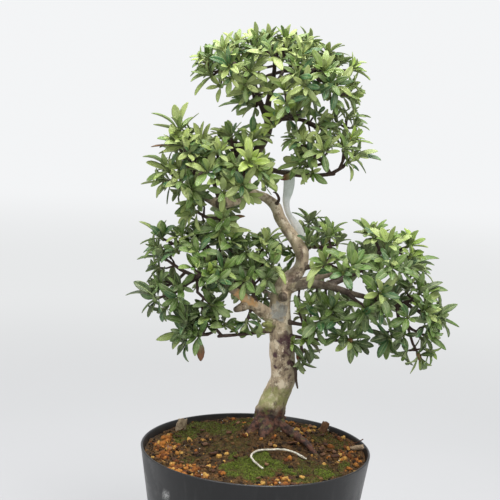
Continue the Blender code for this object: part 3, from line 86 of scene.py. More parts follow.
# Main branches and cut stubs, each from inside the wood it grows from to its end
BRANCHES = {
    "low_left": ((11, 225, 8, 5.4), (3, 228.5, 3, 5), (-5.5, 234, -2, 4.4), (-13, 239, -6, 3.6),
        (-20, 243.5, -10, 2.9), (-34, 249, -12, 1.8), (-46, 252, -10, 1.5)),
    "low_left_stub": ((-8, 236, -3, 3.4), (-14, 233, -7, 3.4), (-19, 230.5, -10, 2.2)),
    "low_left_top": ((-14, 239.5, -6, 2.4), (-19, 250, -5, 1.9), (-27, 261, -3, 1.6), (-33, 267, -1, 1.4)),
    "low_left_near": ((-4, 234, -2, 2.2), (-7, 243, -6, 1.6), (-7.5, 252, -7, 1.4), (-7, 259, -6, 1.3)),
    "low_left_under": ((-7, 234.5, -3, 2), (-8.5, 230, -4.5, 1.3), (-9.5, 226.5, -6, 1.2)),
    "thin_left": ((12, 218, 9, 2.4), (3, 216, 2, 2.2), (-8, 213.7, -4, 1.5), (-18, 212, -9, 1.3),
        (-27, 210.8, -13, 1.3)),
    "cut_stub": ((10, 220, 6, 2.6), (4.5, 220.5, 1, 2.4), (1.5, 220.5, -1, 1.8)),
    "low_back": ((12, 235, 12, 3.4), (8, 240, 31, 2.6), (-1, 246, 54, 1.8)),
    "front_scar": ((14, 241, 6, 4.4), (14.6, 241.3, -1, 3.8), (14.8, 241.3, -2.4, 2.8)),
    "right_main": ((13, 245, 7, 4.4), (24, 250, 1, 3.7), (36, 252, -3, 3.1), (50, 250, -6, 2.7),
        (63, 246.5, -8, 2.2), (80, 243, -9, 1.7), (95, 240, -8, 1.5)),
    "right_top": ((46, 251, -5, 2.4), (58, 257, -1, 1.9), (71, 264.5, 2, 1.6), (79, 269, 3, 1.4)),
    "right_heart": ((60, 247, -8, 1.8), (66, 242, -12, 1.4), (70, 239.5, -14, 1.3)),
    "right_inner": ((24, 262, 3, 2.4), (34, 264.5, -1, 1.8), (43, 265.5, -5, 1.5)),
    "right_shoot": ((16, 224, 7, 2.2), (28, 222, 1, 1.4), (40, 222.4, -5, 1.3), (47, 223.5, -8, 1.3)),
    "thin_right": ((18, 213.5, 8, 2), (29, 212.4, 0, 1.3), (40, 211.5, -7, 1.2), (50, 211.3, -11, 1.2)),
    "side_shoot": ((18, 209, 7, 1.9), (24.5, 208.6, 2, 1.3), (28, 208.6, -1, 1.2)),
    "right_back": ((14, 247, 10, 3.6), (28, 254, 22, 2.8), (46, 259, 38, 2.1), (59, 262, 48, 1.6)),
    "high_back": ((24, 264, 6, 2.6), (28, 270, 25, 1.9), (30, 277, 44, 1.5)),
    "mid_left": ((-8, 314.6, 13, 3), (-19, 310.2, 8, 3), (-31, 307, 2, 3.8), (-36, 307, 0, 3.6),
        (-43, 309.4, -1, 2.4), (-51, 312.6, -2, 1.8)),
    "mid_low": ((-33, 306, 1, 2.6), (-33, 301.5, -2, 1.6), (-33, 297.5, -4.5, 1.4)),
    "mid_upper": ((-15, 330, 13, 2.6), (-20, 335.5, 6, 1.9), (-24, 340, -1, 1.6)),
    "mid_inner": ((-32, 307.5, 2, 2.4), (-36.5, 314, -1, 1.7), (-38.5, 320, -4, 1.5)),
    "mid_back": ((-15, 325, 14, 2.6), (-21, 329, 32, 1.9), (-26, 332, 50, 1.5)),
    "crown_low": ((-14, 334, 12, 2.6), (-3, 333, 11, 2.1), (9, 330.8, 7, 1.9), (22, 329.6, 2, 1.8),
        (33, 329.8, -1, 1.6), (42, 331, -3, 1.4)),
    "crown_shoot": ((-2.4, 361, 7.5, 2.2), (4, 367, 5, 1.5), (12, 368.6, 1, 1.3)),
    "crown_left": ((-3.2, 367, 7, 2.6), (-9, 379.5, 5, 2), (-12.4, 388, 4, 1.8), (-16, 397, 3, 1.6),
        (-23, 402.6, 2, 1.4)),
    "crown_right": ((-1.6, 389, 8, 1.9), (7, 397, 4, 1.6), (18, 401.5, 0, 1.4), (26, 403, -2, 1.3)),
    "crown_back": ((-1.8, 387, 8, 1.9), (3, 395, 22, 1.5), (6, 401, 36, 1.3)),
    "arch_snag": ((5.2, 306, 7, 1.4), (7.8, 311.6, 2.5, 1.2), (5.6, 315.8, 1.2, 0.9), (3.6, 316.4, 1, 0.7)),
    "side_snag": ((22, 194, 8, 1.9), (26, 189, 4, 1.3), (27, 181, 3, 1.1), (28.6, 174.5, 2.5, 0.8)),
}


class Spray(NamedTuple):
    """A leafy spray, which grows from the end of one branch, or of the trunk."""
    branch: str
    heart: tuple                    # the place that its whorls point away from
    lift: float                     # how much they turn upwards
    fill: tuple | None              # whorls placed by rule: number, and reach across, back and up
    whorls: tuple                   # rows: across, up, back and youth, then every leaf tip that shows


# Youth goes from 0 for dark old leaves to 1 for pale new ones. A leaf tip is three numbers: across, up, and
# how much of the leaf's width the front sees.
SPRAYS = {
    "spray_crown_top": Spray("trunk", (2, 404, 4), 0.7, (1, 22, 26, 15), (
        (-13.8, 419.9, -4, 0.3, -15.5, 434.8, 0.8, -18, 429.1, 0.7),
        (-6.2, 420.3, 3, 0.2, -6.4, 434, 0.9, -9.6, 428.1, 0.5, -1.6, 428, 0.6),
        (7.2, 419.5, -5, 0.5, 9.7, 434.2, 0.8, 2.8, 433.1, 0.6, 6.1, 431, 0.9, 22.1, 427.8, 0.6),
        (21.1, 420.2, 5, 0.3, 26.6, 426.1, 0.7), (-2.3, 412, -20, 0.1), (18.1, 413, -15, 0.2),)),
    "spray_crown_left": Spray("crown_left", (-27, 401, 3), 0.5, (1, 20, 24, 13), (
        (-26.7, 416.4, -6, 0.2, -28.9, 426.6, 0.9, -20.1, 424.3, 0.4, -33.1, 423.2, 0.5),
        (-35.9, 412.2, -10, 0.2),
        (-47.5, 404.7, -2, 0.6, -49.1, 418.1, 0.9, -60, 408, 0.3, -57.7, 400.9, 0.4),
        (-43.4, 395.9, -9, 0.2, -58.5, 398.1, 0.5, -58.5, 391, 0.5, -33.9, 391.8, 0.5),
        (-31.5, 402.6, -22, 0.1), (-17.4, 400, -19, 0),)),
    "spray_crown_right": Spray("crown_right", (33, 399, 0), 0.5, (1, 20, 26, 13), (
        (36.3, 414, 2, 0.2, 37.7, 423.4, 0.9, 46.1, 414.5, 0.4), (34.6, 402.7, -24, 0.2, 33.7, 411.5, 0.9),
        (52.1, 404.5, -4, 0.8, 64.4, 410.2, 0.3, 62.9, 404.1, 0.6, 52.3, 411.7, 0.7),
        (43.4, 393.7, -16, 0.1, 28, 390.5, 0.5), (53, 386.8, -4, 0.7, 58.1, 377.7, 0.6), (17, 399, -23, 0.1),
        (28, 386.6, -18, 0, 12, 384.5, 0.6),)),
    "spray_crown_back": Spray("crown_back", (4, 401, 31), 0.5, (5, 36, 26, 20), ()),
    "spray_crown_middle": Spray("crown_shoot", (14, 372, 2), 0.5, (1, 16, 22, 10), (
        (6.3, 370.4, -14, 0.9, -1, 366.8, 0.9, 3.2, 376.8, 0.7, 10.6, 379, 0.6), (8.3, 386.9, -22, 0.3),
        (31.7, 365.2, -12, 0), (40.2, 363.8, 2, 0.2),)),
    "spray_crown_low": Spray("crown_low", (40, 344, 0), 0.4, (2, 20, 28, 15), (
        (52.4, 369.9, 3, 0.1, 66, 372.5, 0.4, 67.5, 367.7, 0.5),
        (55, 354.6, -9, 0.9, 63.9, 363.9, 0.8, 72.3, 354.1, 0.4),
        (57.8, 344.9, -1, 0.2, 76.1, 349.1, 0.7, 78.7, 342.7, 0.5, 65.6, 338.4, 0.4), (37.3, 346.7, -18, 0),
        (20, 356, -10, 0.2, 8, 345.4, 0.5, 11.6, 366.9, 0.6), (24.7, 337.7, -12, 0.1, 5.4, 332.5, 0.7),)),
    "spray_crown_twig": Spray("crown_left_twig", (-6, 378, 4), 0.1, None, (
        (-12.6, 376.6, 1, 0, -29.6, 381.3, 0.5, -38.4, 374.5, 0.4, -29, 371.5, 0.4, -10.9, 369.1, 0.8),
        (-14.4, 386.4, -10, 0, -24.4, 386.8, 0.8),)),
    "spray_mid_tip": Spray("mid_left", (-61, 330, 3), 0.5, (2, 18, 26, 18), (

        (-64.7, 356.6, -4, 0.3, -69.2, 374.9, 1, -59.4, 377, 0.6, -85.3, 367.9, 0.15, -83.7, 360.1, 0.2,
         -51.4, 369.9, 0.15, -63.8, 367.5, 0.8),
        (-48.8, 344.1, -6, 0.3, -55.2, 362.8, 0.7, -48, 364.4, 0.4, -43.3, 362.9, 0.5, -59.3, 355, 0.6),
        (-60.9, 345.7, -13, 0.3, -84.9, 344.2, 0.2, -76.1, 341, 0.8),
        (-70.4, 327.3, -7, 0.3, -87.7, 333.4, 0.7, -90.5, 337, 0.15, -64.7, 341.5, 0.6),
        (-69.5, 320.6, 3, 0.1, -91, 317.5, 0.15),
        (-54.7, 315.5, -16, 0.1, -75.6, 318.1, 0.8, -58.6, 330.4, 0.9),)),
    "spray_mid_low": Spray("mid_low", (-35, 300, 2), -0.1, (1, 14, 22, 10), (
        (-50.2, 299.8, -10, 0.2, -64.5, 295.9, 0.8, -66.1, 304.7, 0.5),
        (-33, 288.6, -16, 0.4, -52.6, 284.5, 0.8, -15.4, 298.4, 0.6, -10.5, 288.1, 0.6, -43.2, 295.1, 1,
         -30.7, 272.8, 0.9, -46.2, 274.5, 0.8, -23, 304, 0.5),)),
    "spray_mid_inner": Spray("mid_inner", (-40, 318, 6), 0.4, None, (
        (-43.4, 328.3, -22, 0.2, -47.6, 338, 0.7), (-37.1, 341.8, -19, 0.3, -41, 350.6, 0.7),
        (-28, 321, -18, 0),)),
    "spray_mid_right": Spray("mid_upper", (-21, 336, 4), 0.5, (1, 18, 26, 14), (
        (-14.8, 336.3, -26, 0.8, -15.8, 346.7, 1, -24.4, 345.7, 0.7, -4.7, 343.7, 0.5),
        (-28.1, 354, -4, 0.2, -33.3, 364.6, 0.8, -43.4, 358.7, 0.4, -46, 353.4, 0.3, -24.7, 364, 0.5),
        (-13, 353.5, -8, 0.6, -13.7, 369.6, 0.95), (-18.8, 320.9, -24, 0),
        (-5.5, 326.9, -15, 0.4, 4, 321, 0.6),)),
    "spray_mid_back": Spray("mid_back", (-34, 330, 43), 0.4, (5, 34, 27, 18), ()),
    "spray_low_far": Spray("low_left", (-56, 250, -2), 0.3, (1, 18, 26, 14), (
        (-75.2, 236.3, -12, 0.2, -93.6, 247.2, 0.9, -99.3, 236.8, 0.25, -87, 224.3, 0.3, -79.8, 253.8, 0.4),
        (-60.4, 237.9, -18, 0, -64.1, 255, 0.8, -70.4, 252.2, 0.5),
        (-71.6, 265, -2, 0.1, -86.3, 275, 0.4, -91.9, 263.3, 0.2, -84, 258.8, 0.35), (-42.2, 254.9, -26, 0.5),
        (-37.4, 233.5, -19, 0, -27.8, 232.8, 0.6, -50.6, 231, 0.7, -41.7, 224.2, 0.6),)),
    "spray_low_top": Spray("low_left_top", (-44, 264, 3), 0.5, (2, 26, 26, 16), (
        (-74, 279.4, -1, 0.1, -91.2, 290.8, 0.25, -83.2, 288.4, 0.9, -75.5, 292.7, 0.6, -65.4, 289.3, 0.7),
        (-59, 280, -8, 0.3, -59, 294.4, 0.7), (-48.5, 269.7, -20, 0.1), (-25.8, 278.2, -12, 0, -17, 286, 0.6),
        (-29.9, 258.2, -23, 0.2, -43, 262, 0.4),)),
    "spray_low_bottom": Spray("thin_left", (-38, 212, -4), 0.05, None, (
        (-53.1, 218.6, -17, 0, -70.8, 222.6, 0.8, -62.4, 230.4, 0.4, -54.2, 233.6, 0.9),
        (-54.2, 211.9, -11, 0.1, -76, 205.2, 0.7, -63.7, 198.7, 0.7),
        (-45.2, 210, -19, 0.1, -42.7, 191.1, 0.95), (-35.5, 225, -13, 0, -46.6, 215.5, 0.7),)),
    "spray_low_near": Spray("low_left_near", (-6, 260, 2), 0.4, (1, 12, 20, 10), (
        (0.5, 279.6, -4, 0.1, -2.4, 291, 0.8, 10.3, 291.4, 0.15, -13, 284.3, 0.25), (-13.4, 273.7, -12, 0.1),
        (4.7, 263.3, -14, 0.1, -6.9, 254.1, 0.8), (-13.3, 252.3, -19, 0.2, -25, 243.9, 0.8),)),
    "spray_low_under": Spray("low_left_under", (-9.5, 232, 0), -0.3, None, (
        (-11, 222.5, -8, 0.1, -18.6, 213.8, 0.6, -1.8, 219, 0.5),)),
    "spray_low_back": Spray("low_back", (-20, 252, 43), 0.3, (6, 40, 27, 20), ()),
    "spray_right_inner": Spray("right_inner", (48, 264, 0), 0.5, (1, 18, 26, 14), (
        (45, 285.2, -4, 0.5, 40.8, 301.1, 0.8, 30.5, 292.8, 0.5, 57.9, 297.7, 0.12, 55.6, 292.4, 0.4),
        (30.2, 280.6, 2, 0.1, 27.2, 293.4, 0.8, 21.9, 286.1, 0.3),
        (62.4, 265.1, -30, 0.3, 60.2, 284.7, 1, 42.3, 276.9, 0.7, 79.1, 274.6, 0.6, 80.6, 264.2, 0.5, 60.5,
         249.4, 0.9),
        (43.4, 266.8, -25, 0.2, 31.2, 269.5, 0.8),)),
    "spray_right_top": Spray("right_top", (88, 266, 4), 0.5, (2, 24, 28, 14), (
        (76.7, 288.2, 1, 0.2, 60.6, 299.7, 0.6, 66.6, 301.4, 0.8, 86.7, 297.3, 0.5),
        (87.2, 281.8, -14, 0.3, 91.9, 296.8, 0.5),
        (101.5, 282.6, -5, 0.9, 95.9, 293.6, 0.8, 108.6, 294.6, 0.8, 114, 288.4, 0.6, 111.7, 272.5, 0.8),
        (104.1, 268.1, 3, 0, 124.9, 274.7, 0.4, 121.8, 269.7, 0.4), (91, 266, -24, 0),)),
    "spray_right_outer": Spray("right_main", (104, 234, 2), 0.2, (2, 22, 28, 14), (
        (111.9, 248.7, -8, 0.2, 114.3, 264.4, 0.9, 128.6, 257.8, 0.6, 132.6, 251.8, 0.6, 95.4, 256.4, 0.5),
        (114.9, 235.6, -14, 0.2, 128.9, 238, 0.9),
        (125, 232.5, -5, 0.1, 140.4, 242.4, 0.8, 142.8, 225.5, 0.3),
        (118, 218.2, -9, 0.1, 128, 228.1, 0.9, 134.4, 208.3, 0.7, 130.9, 218.8, 0.5, 105.2, 220.3, 0.8),
        (114.7, 203.6, -8, 0.7, 126.9, 203.7, 0.7, 116.9, 192.3, 0.4),
        (94, 216.2, -15, 0, 78.8, 212, 0.9, 85.6, 199.9, 0.8, 106.8, 208.5, 0.6, 89.5, 229.9, 0.5),)),
    "spray_right_heart": Spray("right_heart", (72, 246, 0), 0.1, None, (
        (74.8, 235.1, -22, 0.1, 74.8, 218.1, 1, 60, 239, 0.6),
        (83.4, 247.5, -28, 0, 101.5, 237.8, 0.5, 80.5, 258, 0.8),)),
    "spray_right_low": Spray("thin_right", (60, 214, 0), 0, None, (

        (64.2, 212.1, -16, 0, 44.4, 217.2, 0.7, 54.4, 203.2, 0.9, 64.8, 195.4, 0.9, 70.2, 199.6, 0.6, 79.3,
         214.7, 0.6, 62.3, 229.4, 0.9),)),
    "spray_right_near": Spray("right_shoot", (44, 226, 2), 0.3, None, (
        (49.4, 233.8, -14, 0.2, 36.6, 235.6, 0.6, 47.8, 244.3, 0.8, 59, 232, 0.8),
        (42.4, 226.4, -15, 0, 47.2, 213.5, 0.6),)),
    "spray_right_side": Spray("side_shoot", (26, 212, 4), 0.1, None, (
        (30.6, 212.1, -8, 0.4, 38.3, 195.5, 0.6, 43.4, 201.2, 0.5, 37.6, 221.5, 0.7),
        (28.4, 196, 0, 0.3, 34.2, 194.7, 0.6),)),
    "spray_right_back": Spray("right_back", (76, 256, 41), 0.3, (7, 46, 27, 22), ()),
    "spray_high_back": Spray("high_back", (30, 284, 46), 0.4, (3, 24, 20, 14), ()),
}
TWIG_BRANCH = ((-9, 380, 4.5, 1.6), (-9.8, 378.8, 3.2, 1.1))

# The pale loop of dry root, and the blank tag tied behind the trunk
LOOP = (
    (5, -44, 0.4), (-1, -38, 2.4), (-3, -31, 3.4), (2, -24, 3), (12, -21, 2.6), (24, -20, 2.4),
    (36, -25, 0.6),
)
TAG = (
    (13.6, 333, 9.4, 8), (14.4, 324, 9.6, 8), (14, 317, 10.2, 7), (13, 310, 10.5, 5), (15, 302, 10, 4.4),
    (21, 294, 9.5, 7.4), (24.6, 286, 8.6, 7.4),
)


class Slot(str, Enum):
    """The record's material slots."""
    POT = "pot_plastic"
    SOIL = "soil"
    BARK = "bark"
    LEAF = "leaf"
    DRY_ROOT = "dry_root"
    TAG = "tag_plastic"


class Zone(str, Enum):
    """Point values that mark where a finish changes."""
    ALGAE = "algae"
    FLAKE = "flake"
    RAW = "raw"
    SCAR = "scar"
    GIRTH = "girth"
    MOSS = "moss"
    CLAY = "clay"
    TEAL = "teal"
    TINT = "tint"
    YOUTH = "youth"
    WITHER = "wither"
    UNDER = "under"
    ALONG = "along"
    ACROSS = "across"
    EARTH = "earth"
    SCUFF = "scuff"
    DUST = "dust"


class Seed(IntEnum):
    """Where each random draw starts, and for whorls how far apart the draws of two sprays are."""
    CLAY = 21
    CRUMBS = 22
    GRIT = 23
    MOSS = 31
    CHIPS = 51
    FLAT_CHIPS = 52
    TWIGS = 100
    BLADES = 700
    WHORL = 1000
    TUFTS = 4000
    SHADE = 5000
    TUFT = 9000


# ---- arrays

def unit(vectors: Array) -> Array:
    """Vectors scaled to length 1."""
    return vectors / np.maximum(np.linalg.norm(vectors, axis=-1, keepdims=True), 1e-12)


def soft_step(low: float, high: float, values: Array) -> Array:
    """0 below low, 1 above high, and a smooth rise between them."""
    t = np.clip((values - low) / (high - low), 0.0, 1.0)
    return t * t * (3.0 - 2.0 * t)


def lattice_noise(points: Array, cell: float, seed: int) -> Array:
    """Smooth noise from -1 to 1: a random number at each corner of a cubic lattice, blended between.

    Args:
        points: places, one row each.
        cell: side of a lattice cube.
        seed: which noise.

    Returns:
        One number per place.
    """
    place = np.asarray(points, float) / cell
    low = np.floor(place).astype(np.int64)
    t = place - low
    t = t * t * (3.0 - 2.0 * t)
    total = np.zeros(place.shape[:-1])
    for corner in np.ndindex(2, 2, 2):
        step = np.array(corner)
        key = (low + step) @ np.array([73856093, 19349663, 83492791]) + seed * 7919
        key = (key ^ (key >> 13)) * 1274126177
        value = ((key ^ (key >> 16)) & 0xFFFF) / 32767.5 - 1.0
        total += np.prod(np.where(step, t, 1.0 - t), axis=-1) * value
    return total


def rumple(points: Array, cell: float, seed: int, octaves: int = 3) -> Array:
    """Noise with finer and weaker layers on top of each other."""
    return sum(lattice_noise(points, cell / 2 ** k, seed + k) / 2 ** k for k in range(octaves))


@dataclass
class Surface:
    """Points, faces and point values of one piece, kept as whole arrays until its mesh is made."""
    points: list[Array] = field(default_factory=list)
    faces: list[Array] = field(default_factory=list)
    values: dict[str, list[Array]] = field(default_factory=dict)
    count: int = 0

    def add(self, points: Array, faces: Iterable[Array], **values: Array | float) -> None:
        """Take in one more closed form.

        Args:
            points: its points, three numbers each in the last axis.
            faces: arrays of corner numbers, one row per face.
            values: a number, or one per point, for each named point value.
        """
        points = np.asarray(points, float).reshape(-1, 3)
        self.points.append(points)
        self.faces += [np.asarray(group) + self.count for group in faces if len(group)]
        for name, value in values.items():
            spread = np.broadcast_to(np.asarray(value, float).ravel(), len(points))
            self.values.setdefault(name, []).append(spread)
        self.count += len(points)

    def thing(self, name: str) -> bpy.types.Object:
        """An object of everything taken in."""
        mesh = bpy.data.meshes.new(name)
        mesh.vertices.add(self.count)
        mesh.vertices.foreach_set("co", np.concatenate(self.points).astype(np.float32).ravel())
        corners = np.concatenate([group.ravel() for group in self.faces]).astype(np.int32)
        sizes = np.concatenate([np.full(len(group), group.shape[1]) for group in self.faces])
        mesh.loops.add(len(corners))
        mesh.loops.foreach_set("vertex_index", corners)
        mesh.polygons.add(len(sizes))
        mesh.polygons.foreach_set("loop_start", (np.cumsum(sizes) - sizes).astype(np.int32))
        mesh.update(calc_edges=True)
        for key, parts in self.values.items():
            set_value(mesh, key, np.concatenate(parts))
        mesh.shade_smooth()
        return link(name, mesh)


def solid(name: str, points: Array, faces: Iterable[Array], **values: Array | float) -> bpy.types.Object:
    """An object of one closed form. The arguments are those of Surface.add."""
    surface = Surface()
    surface.add(points, faces, **values)
    return surface.thing(name)


def set_value(mesh: bpy.types.Mesh, name: str, values: Array) -> None:
    """Store one number per point on a mesh."""
    layer = mesh.attributes.get(name) or mesh.attributes.new(name, "FLOAT", "POINT")
    layer.data.foreach_set("value", np.asarray(values, np.float32))


def mesh_points(mesh: bpy.types.Mesh) -> Array:
    """All points of a mesh."""
    flat = np.empty(len(mesh.vertices) * 3, np.float32)
    mesh.vertices.foreach_get("co", flat)
    return flat.reshape(-1, 3).astype(float)


def link(name: str, data: bpy.types.ID) -> bpy.types.Object:
    """A new object in the scene."""
    thing = bpy.data.objects.new(name, data)
    bpy.context.scene.collection.objects.link(thing)
    return thing


def add_piece(piece: bpy.types.Object, look: bpy.types.Material, node: str) -> None:
    """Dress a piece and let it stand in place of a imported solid."""
    piece.data.materials.append(look)
    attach(piece, ROOT_BODY)
    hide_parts(node)
    LOG.info("%s: %d faces, replaces %s", piece.name, len(piece.data.polygons), node)


def ring_faces(rows: int, sides: int) -> Array:
    """Quads of a grid whose rows are rings, (row, k), (row, k+1), (row+1, k+1), (row+1, k)."""
    row, k = np.meshgrid(np.arange(rows - 1), np.arange(sides), indexing="ij")
    after = (k + 1) % sides
    quads = [row * sides + k, row * sides + after, (row + 1) * sides + after, (row + 1) * sides + k]
    return np.stack(quads, -1).reshape(-1, 4)


def fan_faces(pole: int, first: int, sides: int, flip: bool) -> Array:
    """Triangles from a pole to a ring of points that starts at first."""
    k = np.arange(sides)
    one, two = first + k, first + (k + 1) % sides
    return np.stack([np.full(sides, pole), two, one] if flip else [np.full(sides, pole), one, two], -1)


def closed_faces(rows: int, sides: int, inward: bool = False) -> list[Array]:
    """The faces of stacked rings, whose first and last poles follow the rings' points.

    Args:
        rows: how many rings.
        sides: points in a ring.
        inward: whether the rings run from the inside out, or from the top down.

    Returns:
        The quads, and the triangles round each pole.
    """
    count = rows * sides
    quads = ring_faces(rows, sides)
    return [quads[:, ::-1] if inward else quads, fan_faces(count, 0, sides, not inward),
            fan_faces(count + 1, count - sides, sides, inward)]


def circles(radius: Array | Sequence[float], height: Array | float, sides: int) -> Array:
    """Level rings of points radius * cos(turn), radius * sin(turn), height.

    Args:
        radius: the radius of each ring.
        height: the height of each ring, or of all of them.
        sides: points in a ring.

    Returns:
        The points (rings, sides, 3).
    """
    turns = np.arange(sides) * math.tau / sides
    radius, height = (np.asarray(fact)[..., None] + turns * 0.0 for fact in (radius, height))
    return np.stack(np.broadcast_arrays(radius * np.cos(turns), radius * np.sin(turns), height), -1)


def plate_faces(rows: int, columns: int, flip: bool) -> list[Array]:
    """The faces of a closed plate, whose back repeats the points of its front.

    Args:
        rows: rows of points in the front.
        columns: points in a row.
        flip: whether the front looks the other way.

    Returns:
        The quads of the front, of the back and of the edge.
    """
    row, col = np.meshgrid(np.arange(rows - 1), np.arange(columns - 1), indexing="ij")
    low = (row * columns + col).ravel()
    sheet = np.stack([low, low + 1, low + columns + 1, low + columns], -1)
    edge = np.concatenate([np.arange(columns), np.arange(2, rows + 1) * columns - 1,
                           np.arange(rows * columns - 2, (rows - 1) * columns - 1, -1),
                           np.arange((rows - 2) * columns, 0, -columns)])
    after, count = np.roll(edge, -1), rows * columns
    rim = np.stack([edge, edge + count, after + count, after], -1)
    if flip:
        sheet, rim = sheet[:, [0, 3, 2, 1]], rim[:, [0, 3, 2, 1]]
    return [sheet, sheet[:, ::-1] + count, rim]


def tube(path: Trail, sides: int) -> tuple[Array, list[Array]]:
    """A round tube with domed ends along (place, radius) pairs.

    Each ring is place + radius * (cos(turn) * side + sin(turn) * other), where side and other stand
    square to the path.

    Args:
        path: the (place, radius) pairs.
        sides: points in a ring.

    Returns:
        The points, and the faces.
    """
    places = np.array([tuple(place) for place, _ in path])
    radii = np.array([radius for _, radius in path])
    ways = unit(np.gradient(places, axis=0))
    dome = np.array([[0.8], [0.45]])
    start = places[:1] - ways[:1] * radii[0] * dome
    end = places[-1:] + ways[-1:] * radii[-1] * dome[::-1]
    places = np.concatenate([start, places, end])
    ways = np.concatenate([ways[:1], ways[:1], ways, ways[-1:], ways[-1:]])
    radii = np.concatenate([radii[0] * np.array([0.5, 0.87]), radii, radii[-1] * np.array([0.87, 0.5])])
    square = np.eye(3)[np.argmin(np.abs(ways).max(axis=0))]
    side = unit(np.cross(ways, square))
    other = np.cross(ways, side)
    turns = np.arange(sides) * math.tau / sides
    spokes = np.cos(turns)[:, None] * side[:, None] + np.sin(turns)[:, None] * other[:, None]
    rings = places[:, None] + radii[:, None, None] * spokes
    poles = [places[0] - ways[0] * radii[0] * 0.3, places[-1] + ways[-1] * radii[-1] * 0.3]
    return np.concatenate([rings.reshape(-1, 3), poles]), closed_faces(len(rings), sides)


# ---- placing

def sketch(across: float, up: float, back: float) -> Vector:
    """The true place of a point that is sketched from the front, in metres."""
    flat = Vector((across * MM, 0.0, up * MM))
    return EYE + (flat - EYE) * (1.0 - back * MM / EYE.y)


def curve(knots: list[Vector], steps: int) -> list[Vector]:
    """A Catmull-Rom curve through knots.

    A point is start + (a t + b t^2 + c t^3) / 2, with a = end - before, b = 2 before - 5 start + 4 end
    - after, and c = 3 start - before - 3 end + after.

    Args:
        knots: the places that it passes through.
        steps: how many steps it takes from one knot to the next.

    Returns:
        The places along it.
    """
    ends = [knots[0] * 2 - knots[1]] + knots + [knots[-1] * 2 - knots[-2]]
    path = []
    for k in range(1, len(ends) - 2):
        before, start, end, after = ends[k - 1:k + 3]
        for step in range(steps):
            t = step / steps
            bend = (end - before) * t + (before * 2 - start * 5 + end * 4 - after) * t * t
            bend += (start * 3 - before - end * 3 + after) * t ** 3
            path.append(start + bend / 2)
    return path + [knots[-1]]


def smooth_path(points: Sequence[Sequence[float]], steps: int = 1) -> Trail:
    """A curve through sketched points (across, up, back, radius)."""
    knots = [Vector((*sketch(*point[:3]), point[3] * MM)) for point in points]
    return [(Vector(knot[:3]), knot[3]) for knot in curve(knots, steps)]


class Wiring:
    """Adds and joins the nodes of one material or shader group."""

    def __init__(self, tree: bpy.types.NodeTree) -> None:
        self.tree = tree

    def feed(self, socket: bpy.types.NodeSocket, value: object) -> None:
        """Join a socket to another, or set its own value."""
        if isinstance(value, bpy.types.NodeSocket):
            self.tree.links.new(value, socket)
        else:
            socket.default_value = (*value, 1.0) if socket.type == "RGBA" else value

    def add(self, kind: str, feeds: dict | None = None, **settings: object) -> bpy.types.Node:
        """A new node.

        Args:
            kind: its type, without the leading ShaderNode.
            feeds: what goes into its sockets, by name or number.
            settings: its other properties.

        Returns:
            The node.
        """
        node = self.tree.nodes.new("ShaderNode" + kind)
        for key, value in settings.items():
            setattr(node, key, value)
        for key, value in (feeds or {}).items():
            self.feed(node.inputs[key], value)
        return node

    def mix(self, share: object, first: object, second: object, blend: str = "MIX") -> bpy.types.NodeSocket:
        """Two colours mixed."""
        node = self.add("Mix", {0: share, 6: first, 7: second}, data_type="RGBA", blend_type=blend)
        return node.outputs[2]

    def math(self, how: str, *values: object) -> bpy.types.NodeSocket:
        """Arithmetic on numbers."""
        return self.add("Math", dict(enumerate(values)), operation=how).outputs[0]

    def times(self, value: object, other: object) -> bpy.types.NodeSocket:
        """Two numbers multiplied."""
        return self.math("MULTIPLY", value, other)

    def remap(self, value: object, low: float, high: float, start: float = 0.0,
              end: float = 1.0) -> bpy.types.NodeSocket:
        """A number moved smoothly from one span to another."""
        feeds = {"Value": value, "From Min": low, "From Max": high, "To Min": start, "To Max": end}
        return self.add("MapRange", feeds, interpolation_type="SMOOTHSTEP").outputs[0]

    def value(self, zone: Zone) -> bpy.types.NodeSocket:
        """A point value of the mesh."""
        return self.add("Attribute", attribute_name=zone.value).outputs["Fac"]

    def noise(self, place: object, scale: object, detail: float = 4.0,
              rough: float = 0.55) -> bpy.types.NodeSocket:
        """Cloudy noise from 0 to 1."""
        feeds = {"Vector": place, "Scale": scale, "Detail": detail, "Roughness": rough}
        return self.add("TexNoise", feeds).outputs[0]

    def patchy(self, zone: Zone, place: object, scale: float, low: float,
               high: float) -> bpy.types.NodeSocket:
        """A point value of the mesh, broken up where noise of a scale lies below low and high."""
        return self.times(self.value(zone), self.remap(self.noise(place, scale), low, high))

    def group(self, tree: bpy.types.NodeTree, **feeds: object) -> bpy.types.Node:
        """A shared effect."""
        node = self.tree.nodes.new("ShaderNodeGroup")
        node.node_tree = tree
        for key, value in feeds.items():
            self.feed(node.inputs[key], value)
        return node


def new_group(name: str, inputs: dict[str, object], outputs: dict[str, str]) -> tuple:
    """An empty shader group.

    Args:
        name: its name.
        inputs: the usual value of each input socket: a number, a colour, a vector, or None for a vector.
        outputs: kind of each output socket.

    Returns:
        The tree, its wiring, the sockets that come in, and the node that takes what goes out.
    """
    tree = bpy.data.node_groups.new(name, "ShaderNodeTree")
    for key, value in inputs.items():
        kind = "Float" if isinstance(value, float) else "Color" if value and len(value) == 4 else "Vector"
        socket = tree.interface.new_socket(key, in_out="INPUT", socket_type="NodeSocket" + kind)
        if value is not None:
            socket.default_value = value
    for key, kind in outputs.items():
        tree.interface.new_socket(key, in_out="OUTPUT", socket_type="NodeSocket" + kind)
    wiring = Wiring(tree)
    come = tree.nodes.new("NodeGroupInput").outputs
    leave = tree.nodes.new("NodeGroupOutput").inputs
    return tree, wiring, come, leave


